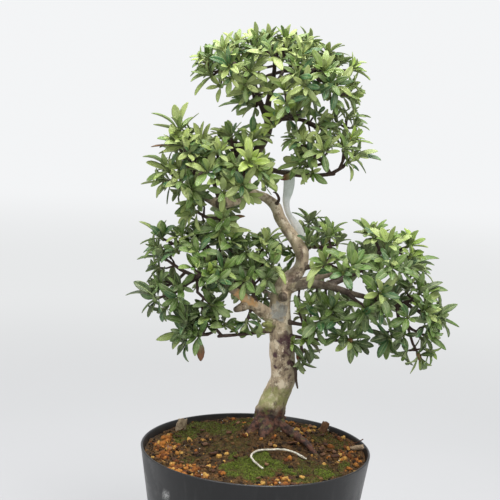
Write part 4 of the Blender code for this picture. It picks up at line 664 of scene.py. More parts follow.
def mottle_group() -> bpy.types.NodeTree:
    """Two colours in soft patches, with finer specks in them."""
    tree, wire, come, leave = new_group("mottle", {
        "Vector": None, "Scale": 100.0, "Dark": (0.1, 0.1, 0.1, 1.0), "Light": (0.5, 0.5, 0.5, 1.0)},
        {"Color": "Color", "Mask": "Float"})
    broad = wire.noise(come["Vector"], come["Scale"], 3.0)
    fine = wire.noise(come["Vector"], wire.times(come["Scale"], 6.0), 3.0, 0.7)
    both = wire.math("ADD", wire.times(broad, 0.65), wire.times(fine, 0.35))
    mask = wire.remap(both, 0.38, 0.62)
    wire.feed(leave["Color"], wire.mix(mask, come["Dark"], come["Light"]))
    wire.feed(leave["Mask"], mask)
    return tree


def relief_group() -> bpy.types.NodeTree:
    """A fine uneven surface, as a normal."""
    tree, wire, come, leave = new_group("relief", {
        "Vector": None, "Scale": 400.0, "Depth": 0.0003, "Extra": 0.0},
        {"Normal": "Vector", "Height": "Float"})
    height = wire.noise(come["Vector"], come["Scale"], 6.0, 0.6)
    total = wire.math("ADD", height, come["Extra"])
    bump = wire.add("Bump", {"Height": total, "Strength": 1.0, "Distance": come["Depth"]})
    wire.feed(leave["Normal"], bump.outputs[0])
    wire.feed(leave["Height"], height)
    return tree


def streak_group() -> bpy.types.NodeTree:
    """Marks drawn out upwards, as on bark or on plastic that was rubbed."""
    tree, wire, come, leave = new_group("streaks", {
        "Vector": None, "Scale": 300.0, "Squeeze": (1.0, 1.0, 0.2), "Low": 0.45, "High": 0.65},
        {"Mask": "Float", "Height": "Float"})
    drawn = wire.add("VectorMath", {0: come["Vector"], 1: come["Squeeze"]}, operation="MULTIPLY")
    height = wire.noise(drawn.outputs[0], come["Scale"], 5.0, 0.62)
    span = {"Value": height, "From Min": come["Low"], "From Max": come["High"]}
    wire.feed(leave["Mask"], wire.add("MapRange", span, interpolation_type="SMOOTHSTEP").outputs[0])
    wire.feed(leave["Height"], height)
    return tree


def vein_group() -> bpy.types.NodeTree:
    """A leaf's midrib and side veins from its own along and across values."""
    tree, wire, come, leave = new_group("veins", {
        "Along": 0.5, "Across": 0.0}, {"Rib": "Float", "Veins": "Float"})
    aside = wire.math("ABSOLUTE", come["Across"])
    rib = wire.remap(aside, 0.02, 0.16, 1.0, 0.0)
    slant = wire.math("SUBTRACT", come["Along"], wire.times(aside, 0.16))
    wave = wire.math("SINE", wire.times(slant, 44.0))
    side = wire.times(wire.remap(wave, 0.72, 1.0), wire.remap(aside, 1.0, 0.5))
    wire.feed(leave["Rib"], rib)
    wire.feed(leave["Veins"], side)
    return tree


class Effects:
    """The shader groups that several finishes share."""

    def __init__(self) -> None:
        self.mottle = mottle_group()
        self.relief = relief_group()
        self.streaks = streak_group()
        self.veins = vein_group()


def dress(look: bpy.types.Material, wire: Wiring, effects: Effects, colour: object, roughness: object,
          **relief: object) -> bpy.types.Material:
    """Feed a material's shader.

    Args:
        look: the material.
        wire: its wiring.
        effects: the shared effects.
        colour: what goes into its base colour.
        roughness: what goes into its roughness.
        relief: what the relief effect takes.

    Returns:
        The material.
    """
    inputs = look.node_tree.nodes["Principled BSDF"].inputs
    wire.feed(inputs["Base Color"], colour)
    wire.feed(inputs["Roughness"], roughness)
    wire.feed(inputs["Normal"], wire.group(effects.relief, **relief).outputs["Normal"])
    return look


def new_look(name: str, **constants: object) -> tuple[bpy.types.Material, Wiring, bpy.types.NodeSocket]:
    """A material, its wiring, and the place on its piece; constants are the shader's own values."""
    look = bpy.data.materials.new(name)
    look.use_nodes = True
    shader = look.node_tree.nodes["Principled BSDF"]
    for key, value in constants.items():
        shader.inputs[key].default_value = value
    wire = Wiring(look.node_tree)
    return look, wire, wire.add("TexCoord").outputs["Object"]


@dataclass(frozen=True)
class PotFinish:
    """Charcoal moulded plastic, with fine pits, rubbed streaks, white scuffs and soil dust."""
    dark: tuple = (0.004, 0.004, 0.0044)
    light: tuple = (0.0075, 0.0075, 0.0085)
    scuff: tuple = (0.42, 0.42, 0.41)
    dust: tuple = (0.06, 0.04, 0.024)

    def make(self, effects: Effects) -> bpy.types.Material:
        """The material."""
        look, wire, place = new_look("pot_plastic_look", IOR=1.48)
        mottle = wire.group(effects.mottle, Vector=place, Scale=38.0, Dark=self.dark, Light=self.light)
        rubbed = wire.group(effects.streaks, Vector=place, Scale=160.0, Squeeze=(1.0, 1.0, 0.1),
                            Low=0.52, High=0.8)
        colour = wire.mix(wire.times(rubbed.outputs["Mask"], 0.035), mottle.outputs["Color"], self.scuff)
        marks = wire.patchy(Zone.SCUFF, place, 900.0, 0.35, 0.6)
        colour = wire.mix(marks, colour, self.scuff)
        dusty = wire.patchy(Zone.DUST, place, 260.0, 0.3, 0.7)
        colour = wire.mix(dusty, colour, self.dust)
        gloss = wire.math("ADD", wire.remap(mottle.outputs["Mask"], 0.0, 1.0, 0.34, 0.46),
                          wire.times(dusty, 0.35))
        return dress(look, wire, effects, colour, gloss, Vector=place, Scale=1500.0, Depth=0.00006)


@dataclass(frozen=True)
class BarkFinish:
    """Azalea bark: thin flaking plates, pale and pinkish, greener near the soil, dark on thin wood, with
    painted light on the side the light falls on and painted shade on the other side.
    """
    dark: tuple = (0.11, 0.072, 0.05)
    light: tuple = (0.56, 0.45, 0.3)
    pale: tuple = (0.8, 0.7, 0.52)
    # painted light: the warm pale colour of the side that the light falls on
    painted_light_warm: tuple = (0.81, 0.64, 0.44)
    pale_patch: tuple = (0.32, 0.335, 0.31)
    # painted shade: the olive colour of the side turned away from the light
    painted_shade_olive: tuple = (0.18, 0.165, 0.085)
    # dark thin wood; this colour also paints shade on the trunk inside the crown
    thin: tuple = (0.05, 0.03, 0.02)
    algae: tuple = (0.27, 0.29, 0.085)
    flake: tuple = (0.085, 0.042, 0.044)
    raw: tuple = (0.7, 0.41, 0.18)
    scar: tuple = (0.03, 0.018, 0.015)
    earth: tuple = (0.016, 0.008, 0.006)
    rust: tuple = (0.12, 0.048, 0.028)
    moss: tuple = (0.085, 0.08, 0.022)

    def make(self, effects: Effects) -> bpy.types.Material:
        """The material."""
        look, wire, place = new_look("bark_look")
        mottle = wire.group(effects.mottle, Vector=place, Scale=120.0, Dark=self.dark, Light=self.light)
        long = wire.group(effects.streaks, Vector=place, Scale=420.0, Squeeze=(1.0, 1.0, 0.22),
                          Low=0.42, High=0.62)
        colour = wire.mix(wire.times(long.outputs["Mask"], 0.6), mottle.outputs["Color"], self.light)
        plates = wire.remap(wire.noise(place, 150.0, 5.0, 0.62), 0.5, 0.57)
        colour = wire.mix(wire.times(plates, 0.75), colour, self.pale)
        cracks = wire.group(effects.streaks, Vector=place, Scale=300.0, Squeeze=(1.0, 1.0, 0.3),
                            Low=0.6, High=0.7)
        colour = wire.mix(wire.times(cracks.outputs["Mask"], 0.75), colour, self.dark)
        # painted light and painted shade: a high tint value paints the lit side warm and pale, a low one
        # paints the shaded side olive
        colour = wire.mix(wire.remap(wire.value(Zone.TINT), 0.5, 1.0, 0.0, 0.6), colour, self.painted_light_warm)
        colour = wire.mix(wire.remap(wire.value(Zone.TINT), 0.45, 0.0, 0.0, 0.6), colour, self.painted_shade_olive)
        # dark on thin wood, and painted shade on the trunk inside the crown, where the girth value is lowered
        colour = wire.mix(wire.remap(wire.value(Zone.GIRTH), 0.0034, 0.0016), colour, self.thin)
        rough = wire.remap(wire.noise(place, 260.0), 0.35, 0.6)
        for zone, tint in ((Zone.ALGAE, self.algae), (Zone.DUST, self.pale_patch), (Zone.FLAKE, self.flake),
                           (Zone.RAW, self.raw)):
            share = wire.times(wire.value(zone), wire.remap(rough, 0.0, 1.0, 0.55, 1.0))
            colour = wire.mix(share, colour, tint)
        colour = wire.mix(wire.value(Zone.SCAR), colour, self.scar)
        crust = wire.group(effects.mottle, Vector=place, Scale=230.0, Dark=self.earth, Light=self.rust)
        ground = wire.mix(wire.remap(wire.noise(place, 190.0), 0.54, 0.66), crust.outputs["Color"], self.moss)
        colour = wire.mix(wire.value(Zone.EARTH), colour, ground)
        return dress(look, wire, effects, colour, wire.remap(mottle.outputs["Mask"], 0.0, 1.0, 0.92, 0.72),
                     Vector=place, Scale=900.0, Depth=0.0005, Extra=long.outputs["Height"])


@dataclass(frozen=True)
class LeafFinish:
    """Leathery leaves, dark or young, with a sunk midrib, faint side veins and a waxy sheen, with pale
    patches of painted sheen and painted highlights along the edges.
    """
    dark: tuple = (0.026, 0.052, 0.011)
    mid: tuple = (0.094, 0.176, 0.03)
    light: tuple = (0.315, 0.385, 0.115)
    teal: tuple = (0.036, 0.115, 0.036)
    young: tuple = (0.295, 0.425, 0.045)
    under: tuple = (0.3, 0.35, 0.18)
    rib: tuple = (0.33, 0.39, 0.16)
    # painted highlight: the pale colour along a leaf's edges, where the folded blade catches the light
    edge: tuple = (0.4, 0.43, 0.2)
    wither: tuple = (0.18, 0.062, 0.028)
    # painted sheen: the pale colour of the patches where a glossy leaf seems to catch the light
    pale_patch: tuple = (0.6, 0.62, 0.43)

    def make(self, effects: Effects) -> bpy.types.Material:
        """The material."""
        look, wire, place = new_look("leaf_look", IOR=1.4)
        tint, youth = wire.value(Zone.TINT), wire.value(Zone.YOUTH)
        along, across = wire.value(Zone.ALONG), wire.value(Zone.ACROSS)
        veins = wire.group(effects.veins, Along=along, Across=across)
        # the tint value holds each leaf's own tone together with painted light on the upper leaves and
        # painted shade on the lower ones
        colour = wire.mix(wire.remap(tint, 0.0, 0.55), self.dark, self.mid)
        colour = wire.mix(wire.remap(tint, 0.45, 0.92), colour, self.light)
        colour = wire.mix(wire.remap(wire.value(Zone.TEAL), 0.84, 0.9), colour, self.teal)
        colour = wire.mix(wire.remap(youth, 0.05, 1.0), colour, self.young)
        # painted sheen: pale patches from noise, mixed into the colour
        patches = wire.remap(wire.noise(place, 170.0, 4.0), 0.4, 0.7)
        colour = wire.mix(wire.times(patches, 0.19), colour, self.pale_patch)
        # painted highlight along the edges of the blade
        rim = wire.times(wire.remap(wire.math("ABSOLUTE", across), 0.8, 1.0), 0.35)
        colour = wire.mix(rim, colour, self.edge)
        colour = wire.mix(wire.times(veins.outputs["Rib"], 0.55), colour, self.rib)
        colour = wire.mix(wire.times(veins.outputs["Veins"], 0.16), colour, self.rib)
        colour = wire.mix(wire.times(wire.value(Zone.UNDER), 0.75), colour, self.under)
        spoilt = wire.patchy(Zone.WITHER, place, 420.0, 0.2, 0.5)
        colour = wire.mix(spoilt, colour, self.wither)
        gloss = wire.math("ADD", wire.remap(patches, 0.0, 1.0, 0.36, 0.5),
                          wire.times(wire.value(Zone.UNDER), 0.25))
        sunk = wire.times(wire.math("ADD", veins.outputs["Rib"], veins.outputs["Veins"]), -0.8)
        return dress(look, wire, effects, colour, gloss,
                     Vector=place, Scale=1300.0, Depth=0.00012, Extra=sunk)


@dataclass(frozen=True)
class EarthFinish:
    """Damp soil with crumbs, moss where the moss value is high and clay where the clay value is."""
    dark: tuple = (0.018, 0.01, 0.005)
    light: tuple = (0.115, 0.062, 0.024)
    clay: tuple = (0.3, 0.12, 0.03)
    old_moss: tuple = (0.065, 0.05, 0.014)
    moss: tuple = (0.095, 0.12, 0.02)

    def make(self, effects: Effects) -> bpy.types.Material:
        """The material."""
        look, wire, place = new_look("earth_look", IOR=1.33)
        mottle = wire.group(effects.mottle, Vector=place, Scale=260.0, Dark=self.dark, Light=self.light)
        speck = wire.remap(wire.noise(place, 420.0, 3.0), 0.45, 0.62)
        colour = wire.mix(wire.times(wire.value(Zone.CLAY), speck), mottle.outputs["Color"], self.clay)
        green = wire.mix(wire.remap(wire.noise(place, 240.0), 0.35, 0.65), self.old_moss, self.moss)
        grown = wire.patchy(Zone.MOSS, place, 330.0, 0.3, 0.55)
        colour = wire.mix(wire.remap(grown, 0.15, 0.7), colour, green)
        return dress(look, wire, effects, colour, wire.remap(mottle.outputs["Mask"], 0.0, 1.0, 0.75, 0.98),
                     Vector=place, Scale=600.0, Depth=0.002)


@dataclass(frozen=True)
class GrainFinish:
    """Loose grains: three colours chosen by each grain's tint, with a dusty crust."""
    name: str
    first: tuple
    second: tuple
    third: tuple
    scale: float = 900.0
    roughness: tuple[float, float] = (0.8, 0.97)

    def make(self, effects: Effects) -> bpy.types.Material:
        """The material."""
        look, wire, place = new_look(self.name + "_look", IOR=1.33)
        base = wire.mix(wire.remap(wire.value(Zone.TINT), 0.15, 0.55), self.first, self.second)
        base = wire.mix(wire.remap(wire.value(Zone.TINT), 0.6, 0.9), base, self.third)
        dark = wire.mix(1.0, base, (0.45, 0.42, 0.4), "MULTIPLY")
        mottle = wire.group(effects.mottle, Vector=place, Scale=self.scale, Dark=dark, Light=base)
        return dress(look, wire, effects, mottle.outputs["Color"],
                     wire.remap(mottle.outputs["Mask"], 0.0, 1.0, *self.roughness),
                     Vector=place, Scale=2400.0, Depth=0.0003)


@dataclass(frozen=True)
class TagFinish:
    """A blank weathered plastic label, green-grey and clearer at the top, where the loop also carries painted
    shade, chalky white below.
    """
    # clear plastic at the top, darkened as painted shade where the loop sits
    clear: tuple = (0.72, 0.78, 0.74)
    white: tuple = (0.9, 0.905, 0.89)

    def make(self, effects: Effects) -> bpy.types.Material:
        """The material."""
        look, wire, place = new_look("tag_look", IOR=1.46)
        colour = wire.mix(wire.remap(wire.value(Zone.ALONG), 0.35, 0.6), self.clear, self.white)
        mottle = wire.group(effects.mottle, Vector=place, Scale=180.0, Dark=(0.82, 0.84, 0.8),
                            Light=(1.0, 1.0, 1.0))
        return dress(look, wire, effects, wire.mix(1.0, colour, mottle.outputs["Color"], "MULTIPLY"),
                     wire.remap(mottle.outputs["Mask"], 0.0, 1.0, 0.3, 0.48),
                     Vector=place, Scale=700.0, Depth=0.00008)


# ---- pot and soil

@dataclass
class Pot:
    """The growing pot: a thin tapered shell with a rounded rim and drain holes."""
    height: float = 0.13
    top: float = 0.0838
    foot: float = 0.064
    wall: float = 0.0018
    floor: float = 0.0032           # top of the floor
    recess: float = 0.0012
    pad: float = 0.026
    ring: float = 0.052
    holes: int = 8
    hole_radius: float = 0.004
    hole_ring: float = 0.039
    steps: int = 144
    scuffs: tuple = ((-62.5, -50.6, 108.6, 2.0), (-61.0, -52.5, 109.4, 2.2), (-59.4, -54.6, 110.0, 2.0),
                     (-57.6, -57.6, 112.6, 1.3), (-55.6, -60.6, 116.0, 1.2), (-53.4, -63.2, 120.0, 1.2))

    def outside(self, height: Array | float) -> Array | float:
        """The outer radius at a height."""
        return self.foot + (self.top - self.foot) * height / self.height

    def profile(self) -> Array:
        """Radius and height down the inside, over the rim, down the outside and under the foot."""
        up = np.linspace(0.007, self.height - 0.001, 22)
        inner = np.stack([self.outside(up) - self.wall, up], -1)
        turn = np.linspace(math.pi, 0.0, 9)[1:-1]
        half = self.wall / 2
        rim = np.stack([self.top - half + half * np.cos(turn), self.height - half + half * np.sin(turn)], -1)
        down = np.linspace(self.height - 0.001, 0.003, 26)
        outer = np.stack([self.outside(down), down], -1)
        floor = [(0.01, self.floor), (0.024, self.floor), (self.hole_ring, self.floor), (0.052, self.floor),
                 (self.outside(self.floor) - self.wall - 0.003, self.floor),
                 (self.outside(0.0045) - self.wall - 0.0007, 0.0042)]
        foot = [(self.foot - 0.0004, 0.001), (self.foot - 0.002, 0.0), (self.foot - 0.006, 0.0),
                (self.ring, 0.0), (self.ring - self.recess, self.recess), (self.hole_ring, self.recess),
                (self.pad + self.recess, self.recess), (self.pad, 0.0), (0.01, 0.0)]
        return np.concatenate([floor, inner, rim, outer, foot])

    def shell(self) -> bpy.types.Object:
        """The revolved shell before its holes are drilled."""
        profile = self.profile()
        rings = circles(profile[:, 0], profile[:, 1], self.steps)
        points = np.concatenate([rings.reshape(-1, 3), [[0.0, 0.0, self.floor], [0.0, 0.0, 0.0]]])
        return solid("pot_blank", points, closed_faces(len(profile), self.steps, True))

    def drills(self) -> bpy.types.Object:
        """Round bars where the drain holes go."""
        surface = Surface()
        for k in range(self.holes):
            turn = math.tau * (k + 0.5) / self.holes
            x, y = self.hole_ring * math.cos(turn), self.hole_ring * math.sin(turn)
            bar = [(Vector((x, y, z)), self.hole_radius) for z in (-0.006, 0.002, 0.01)]
            surface.add(*tube(bar, 24))
        return surface.thing("pot_drills")

    def build(self, look: bpy.types.Material) -> None:
        """Drill, mark the worn places and dress."""
        blank, drills = self.shell(), self.drills()
        cut = blank.modifiers.new("drill", "BOOLEAN")
        cut.operation, cut.object, cut.solver = "DIFFERENCE", drills, "EXACT"
        mesh = evaluated(blank, drills)
        places = mesh_points(mesh)
        scuff = np.zeros(len(places))
        for x, y, z, reach in self.scuffs:
            gap = np.linalg.norm(places - np.array([x, y, z]) * MM, axis=1)
            scuff = np.maximum(scuff, 1.0 - soft_step(reach * 0.4, reach, gap * 1000.0))
        away = np.linalg.norm(places[:, :2], axis=1)
        inside = away < self.outside(places[:, 2]) - self.wall * 0.6
        dust = np.where(inside, soft_step(0.1285, 0.1235, places[:, 2]) * 0.9, 0.0)
        dust += soft_step(0.012, 0.0, places[:, 2]) * 0.35
        set_value(mesh, Zone.SCUFF.value, scuff)
        set_value(mesh, Zone.DUST.value, np.clip(dust, 0.0, 1.0))
        mesh.shade_smooth()
        mesh.set_sharp_from_angle(angle=math.radians(38.0))
        add_piece(link("pot_shell", mesh), look, "pot")


def evaluated(thing: bpy.types.Object, *tools: bpy.types.Object) -> bpy.types.Mesh:
    """A new mesh of an object with its modifiers worked in; the object and its tools go."""
    depsgraph = bpy.context.evaluated_depsgraph_get()
    mesh = bpy.data.meshes.new_from_object(thing.evaluated_get(depsgraph))
    for done in (thing, *tools):
        bpy.data.objects.remove(done, do_unlink=True)
    return mesh


# Patches of the soil's surface: across, back, reach across, reach back, strength
MOSS_PATCHES = (
    (-55, 28, 17, 24, 0.6), (-22, -4, 26, 15, 0.35), (42, -36, 20, 12, 0.5), (56, 24, 14, 20, 0.45),
    (0, -42, 27, 21, 1), (-3, -34, 22, 12, 1), (14, -36, 14, 12, 0.9), (48.2, -45.4, 7, 6, 1),
    (64, -24, 7, 6, 0.7), (-34, 42, 26, 24, 0.6), (-18, 22, 18, 16, 0.55), (0, 62, 26, 14, 0.5),
    (-48, -28, 9, 8, 0.45), (34, -58, 13, 7, 0.55), (30, 58, 14, 12, 0.4),
)
CLAY_PATCHES = (
    (-62, 6, 12, 40, 0.9), (-42, -50, 22, 16, 0.8), (62, 12, 16, 34, 0.5), (16, -60, 26, 12, 0.6),
    (30, 40, 20, 20, 0.45), (-10, 36, 12, 10, 0.5), (38, 6, 16, 14, 0.5),
)


def patch_strength(x: Array, y: Array, patches: Sequence[Sequence[float]]) -> Array:
    """How strongly patches cover places, given in metres, with ragged edges."""
    flat = np.stack([x, y, x * 0.0], -1)
    ragged = rumple(flat, 0.008, 71, 4) * 0.5
    total = np.zeros(np.shape(x))
    for across, back, wide, deep, strength in patches:
        away = np.hypot((x * 1000.0 - across) / wide, (y * 1000.0 - back) / deep)
        total = np.maximum(total, (1.0 - soft_step(0.65, 1.05, away + ragged)) * strength)
    return total


# A reddish stalk that leans out over the rim
STALK = ((67, 11, 123.5), (70, 12, 128.5), (73.5, 14, 131), (77, 16, 131.5), (80.5, 18, 133))


@dataclass
class Soil:
    """The bed of soil, with crumbs, moss, baked clay, grit and chips of bark on it."""
    edge: float = 0.0806
    bottom: float = 0.0036
    under: float = 0.0608           # radius of the flat underside
    inset: float = 0.0021           # from the pot's outside to the soil's wall
    clear: float = 0.0105           # nothing loose lies this close to the trunk's foot
    edge_height: float = 0.1245
    mound: float = 0.0125
    mound_width: float = 0.046
    collar: float = 0.0055          # more heap close round the trunk
    collar_width: float = 0.0205
    rings: int = 96
    sectors: int = 216
    grains: int = 2300
    fronds: int = 27000

    def height(self, x: Array, y: Array) -> Array:
        """The surface: a heap round the trunk's foot, with lumps and crumbs."""
        away = np.hypot(x - FOOT[0], y - FOOT[1]) / self.mound_width
        flat = np.stack([x, y, x * 0.0], -1)
        heap = self.edge_height + self.mound * np.exp(-away * away)
        heap = heap + self.collar * np.exp(-(away * self.mound_width / self.collar_width) ** 2)
        moss = patch_strength(x, y, MOSS_PATCHES)
        lumps = rumple(flat, 0.011, 5, 2) * 0.0009 + rumple(flat, 0.0035, 9, 3) * 0.0006
        return heap + lumps + moss * (0.0012 + lattice_noise(flat, 0.006, 13) * 0.0009)

    def build_bed(self, look: bpy.types.Material) -> None:
        """The bed, as a polar height field that is closed by its wall and flat underside."""
        top = circles(np.linspace(0.0, 1.0, self.rings + 1)[1:] * self.edge, 0.0, self.sectors)
        top[..., 2] = self.height(top[..., 0], top[..., 1])
        levels = np.linspace(0.115, self.bottom + 0.004, 8)
        walls = circles(Pot().outside(levels) - self.inset, levels, self.sectors)
        rings = np.concatenate([top, walls, circles([self.under], [self.bottom], self.sectors)])
        middle = float(self.height(np.array([0.0]), np.array([0.0]))[0])
        points = np.concatenate([rings.reshape(-1, 3), [[0.0, 0.0, middle], [0.0, 0.0, self.bottom]]])
        bed = solid("soil_bed", points, closed_faces(len(rings), self.sectors, True),
                    moss=patch_strength(points[:, 0], points[:, 1], MOSS_PATCHES),
                    clay=patch_strength(points[:, 0], points[:, 1], CLAY_PATCHES))
        add_piece(bed, look, "soil")

    def scatter(self, count: int, seed: int, near: Sequence[Sequence[float]] | None,
                spare: float) -> tuple[Array, Array, np.random.Generator]:
        """Places on the soil by a seeded rule.

        Args:
            count: how many places are tried for.
            seed: which draw.
            near: patches that the places keep to, or None for all over.
            spare: chance that a place outside the patches is kept too.

        Returns:
            x, y and the generator, for what else is drawn.
        """
        draw = np.random.default_rng(seed)
        reach = np.sqrt(draw.random(count * 6)) * (self.edge - 0.0025)
        turn = draw.uniform(0.0, math.tau, count * 6)
        x, y = reach * np.cos(turn), reach * np.sin(turn)
        clear = np.hypot(x - FOOT[0], y - FOOT[1]) > self.clear
        keep = clear & (draw.random(len(x)) < spare)
        if near is not None:
            keep |= clear & (draw.random(len(x)) < patch_strength(x, y, near))
        return x[keep][:count], y[keep][:count], draw

    def build_grains(self, effects: Effects) -> None:
        """Crumbs of soil, grains of baked clay and a little white grit."""
        clay = GrainFinish("clay_grains", (0.16, 0.055, 0.016), (0.4, 0.15, 0.026),
                           (0.56, 0.33, 0.085))
        crumb = GrainFinish("soil_crumbs", (0.018, 0.01, 0.005), (0.085, 0.044, 0.017),
                            (0.19, 0.105, 0.036))
        grit = GrainFinish("grit", (0.4, 0.35, 0.27), (0.6, 0.55, 0.45),
                           (0.78, 0.75, 0.68))
        for finish, count, seed, near, spare, size in (
                (clay, int(self.grains * 0.3), Seed.CLAY, CLAY_PATCHES, 0.1, (0.0005, 0.0027)),
                (crumb, self.grains, Seed.CRUMBS, None, 0.5, (0.0004, 0.0018)),
                (grit, 60, Seed.GRIT, CLAY_PATCHES, 0.06, (0.0005, 0.0012))):
            x, y, draw = self.scatter(count, seed, near, spare)
            moss = patch_strength(x, y, MOSS_PATCHES)
            keep = moss < draw.uniform(0.15, 0.5, len(x))
            x, y = x[keep], y[keep]
            radius = size[0] + (size[1] - size[0]) * draw.random(len(x)) ** 1.8
            middles = np.stack([x, y, self.height(x, y) + radius * 0.2], -1)
            surface = lumps_surface(middles, radius, draw)
            add_piece(surface.thing(finish.name), finish.make(effects), "soil")

    def build_moss(self, effects: Effects) -> None:
        """Moss: short upright fronds, thick on the cushions and yellower where it is old."""
        finish = GrainFinish("moss", (0.105, 0.058, 0.016), (0.09, 0.1, 0.018),
                             (0.19, 0.27, 0.032), 500.0, (0.85, 1.0))
        x, y, draw = self.scatter(self.fronds, Seed.MOSS, MOSS_PATCHES, 0.48)
        strength = patch_strength(x, y, MOSS_PATCHES)
        roots = np.stack([x, y, self.height(x, y) - 0.0003], -1)
        lean = np.stack([draw.normal(0.0, 0.7, len(x)), draw.normal(0.0, 0.7, len(x)), np.ones(len(x))], -1)
        size = draw.uniform(0.001, 0.0027, len(x)) * (0.55 + 0.45 * strength)
        tips = roots + unit(lean) * size[:, None]
        width = draw.uniform(0.00022, 0.00042, len(x))
        turn = draw.uniform(0.0, math.tau, len(x))
        corners = [roots + width[:, None] * np.stack([np.cos(turn + k), np.sin(turn + k), turn * 0.0], -1)
                   for k in (0.0, math.tau / 3, math.tau * 2 / 3)]
        points = np.stack(corners + [tips], 1)
        base = np.arange(len(x))[:, None] * 4
        faces = [base + np.array(face) for face in ((0, 1, 3), (1, 2, 3), (2, 0, 3), (0, 2, 1))]
        tint = np.clip(strength * 0.8 + draw.uniform(-0.3, 0.42, len(x)), 0.0, 1.0)
        fronds = solid("moss_fronds", points, faces, tint=np.repeat(tint, 4))
        add_piece(fronds, finish.make(effects), "soil")

    def build_chips(self, effects: Effects) -> None:
        """Chips of pine bark, lying flat or stuck upright, and a reddish stalk."""
        finish = GrainFinish("bark_chips", (0.09, 0.04, 0.022), (0.26, 0.14, 0.075),
                             (0.46, 0.37, 0.25), 420.0)
        draw = np.random.default_rng(Seed.CHIPS)
        surface = Surface()
        standing = ((-57.0, 38.0, (8.0, 1.4, 11.0), (8.0, 10.0, 20.0), 1.0),
                    (53.0, 46.0, (6.0, 1.6, 11.0), (-10.0, 12.0, -30.0), 0.45),
                    (75.5, 9.0, (3.6, 1.6, 10.0), (0.0, 76.0, -12.0), 0.8),
                    (-30.0, -20.0, (6.0, 1.4, 4.0), (80.0, 0.0, 35.0), 0.1),
                    (27.0, -6.0, (5.0, 1.2, 7.0), (70.0, 15.0, 60.0), 0.25),
                    (58.0, -10.0, (4.0, 1.2, 6.0), (85.0, 0.0, 110.0), 0.2))
        places = zip(*self.scatter(44, Seed.FLAT_CHIPS, CLAY_PATCHES, 0.1)[:2])
        flat = [(x * 1000.0, y * 1000.0, tuple(draw.uniform(0.55, 1.0, 3) * (5.0, 1.1, 3.6)),
                 (draw.uniform(60.0, 100.0), draw.uniform(-20.0, 20.0), draw.uniform(0.0, 360.0)),
                 float(draw.uniform(0.0, 0.5))) for x, y in places]
        for x, y, size, turn, tint in list(standing) + flat:
            points, faces = chip_shape(size, draw)
            spin = Matrix.Rotation(math.radians(turn[2]), 3, "Z") @ Matrix.Rotation(
                math.radians(turn[1]), 3, "Y") @ Matrix.Rotation(math.radians(turn[0]), 3, "X")
            points = points @ np.array(spin).T
            lift = float(self.height(np.array([x * MM]), np.array([y * MM]))[0])
            lift += 0.0008 - min(points[:, 2].min(), 0.0) * 0.55
            surface.add(points + np.array([x * MM, y * MM, lift]), faces, tint=tint)
        surface.add(*tube([(Vector(place) * MM, 0.00045) for place in STALK], 6), tint=0.05)
        add_piece(surface.thing("bark_chips"), finish.make(effects), "soil")

    def build(self, effects: Effects) -> None:
        """Everything that lies in the pot."""
        self.build_bed(EarthFinish().make(effects))
        self.build_grains(effects)
        self.build_moss(effects)
        self.build_chips(effects)


def lumps_surface(middles: Array, radius: Array, draw: np.random.Generator) -> Surface:
    """Many small uneven lumps, from one pattern of a few dozen faces that is squashed and turned."""
    sides, rows = 7, 4
    lift = np.linspace(-0.75, 0.75, rows)
    rings = circles(np.sqrt(1.0 - lift ** 2), lift, sides)
    pattern = np.concatenate([rings.reshape(-1, 3), [[0.0, 0.0, -1.0], [0.0, 0.0, 1.0]]])
    faces = closed_faces(rows, sides)
    count = len(middles)
    rough = 1.0 + draw.uniform(-0.32, 0.32, (count, len(pattern), 1))
    squash = draw.uniform(0.52, 1.15, (count, 1, 3))
    axes = unit(draw.normal(0.0, 1.0, (count, 3)))
    turned = turn_about(pattern[None] * rough * squash, axes, draw.uniform(0.0, math.tau, count))
    points = middles[:, None] + turned * radius[:, None, None]
    steps = np.arange(count)[:, None, None] * len(pattern)
    surface = Surface()
    surface.add(points, [(group[None] + steps).reshape(-1, group.shape[1]) for group in faces],
                tint=np.repeat(draw.random(count), len(pattern)))
    return surface


def turn_about(points: Array, axes: Array, angles: Array) -> Array:
    """Points (count, n, 3) turned about one axis each by one angle each (Rodrigues' formula)."""
    axis = axes[:, None]
    cos, sin = np.cos(angles)[:, None, None], np.sin(angles)[:, None, None]
    along = np.sum(points * axis, -1, keepdims=True) * axis
    return points * cos + np.cross(np.broadcast_to(axis, points.shape), points) * sin + along * (1.0 - cos)


def chip_shape(size: Sequence[float], draw: np.random.Generator) -> tuple[Array, list[Array]]:
    """A split chip of bark: a ragged closed plate of wide, thick and high millimetres."""
    wide, thick, high = (part * MM for part in size)
    rows, columns = 6, 5
    v, u = np.meshgrid(np.linspace(-0.5, 0.5, rows), np.linspace(-0.5, 0.5, columns), indexing="ij")
    ragged = draw.uniform(-0.08, 0.08, (2, rows, columns))
    x, z = (u * (1.0 - 0.25 * np.abs(v)) + ragged[0] * 0.8) * wide, (v + ragged[1]) * high
    swell = (0.5 - 0.9 * np.maximum(np.abs(u), np.abs(v)) ** 3) * thick
    swell = swell + draw.uniform(0.0, 0.12, x.shape) * thick
    bow = (u ** 2 - 0.1) * thick * 0.8
    front = np.stack([x, bow - swell, z], -1).reshape(-1, 3)
    back = np.stack([x, bow + swell, z], -1).reshape(-1, 3)
    return np.concatenate([front, back]), plate_faces(rows, columns, False)


# ---- trunk

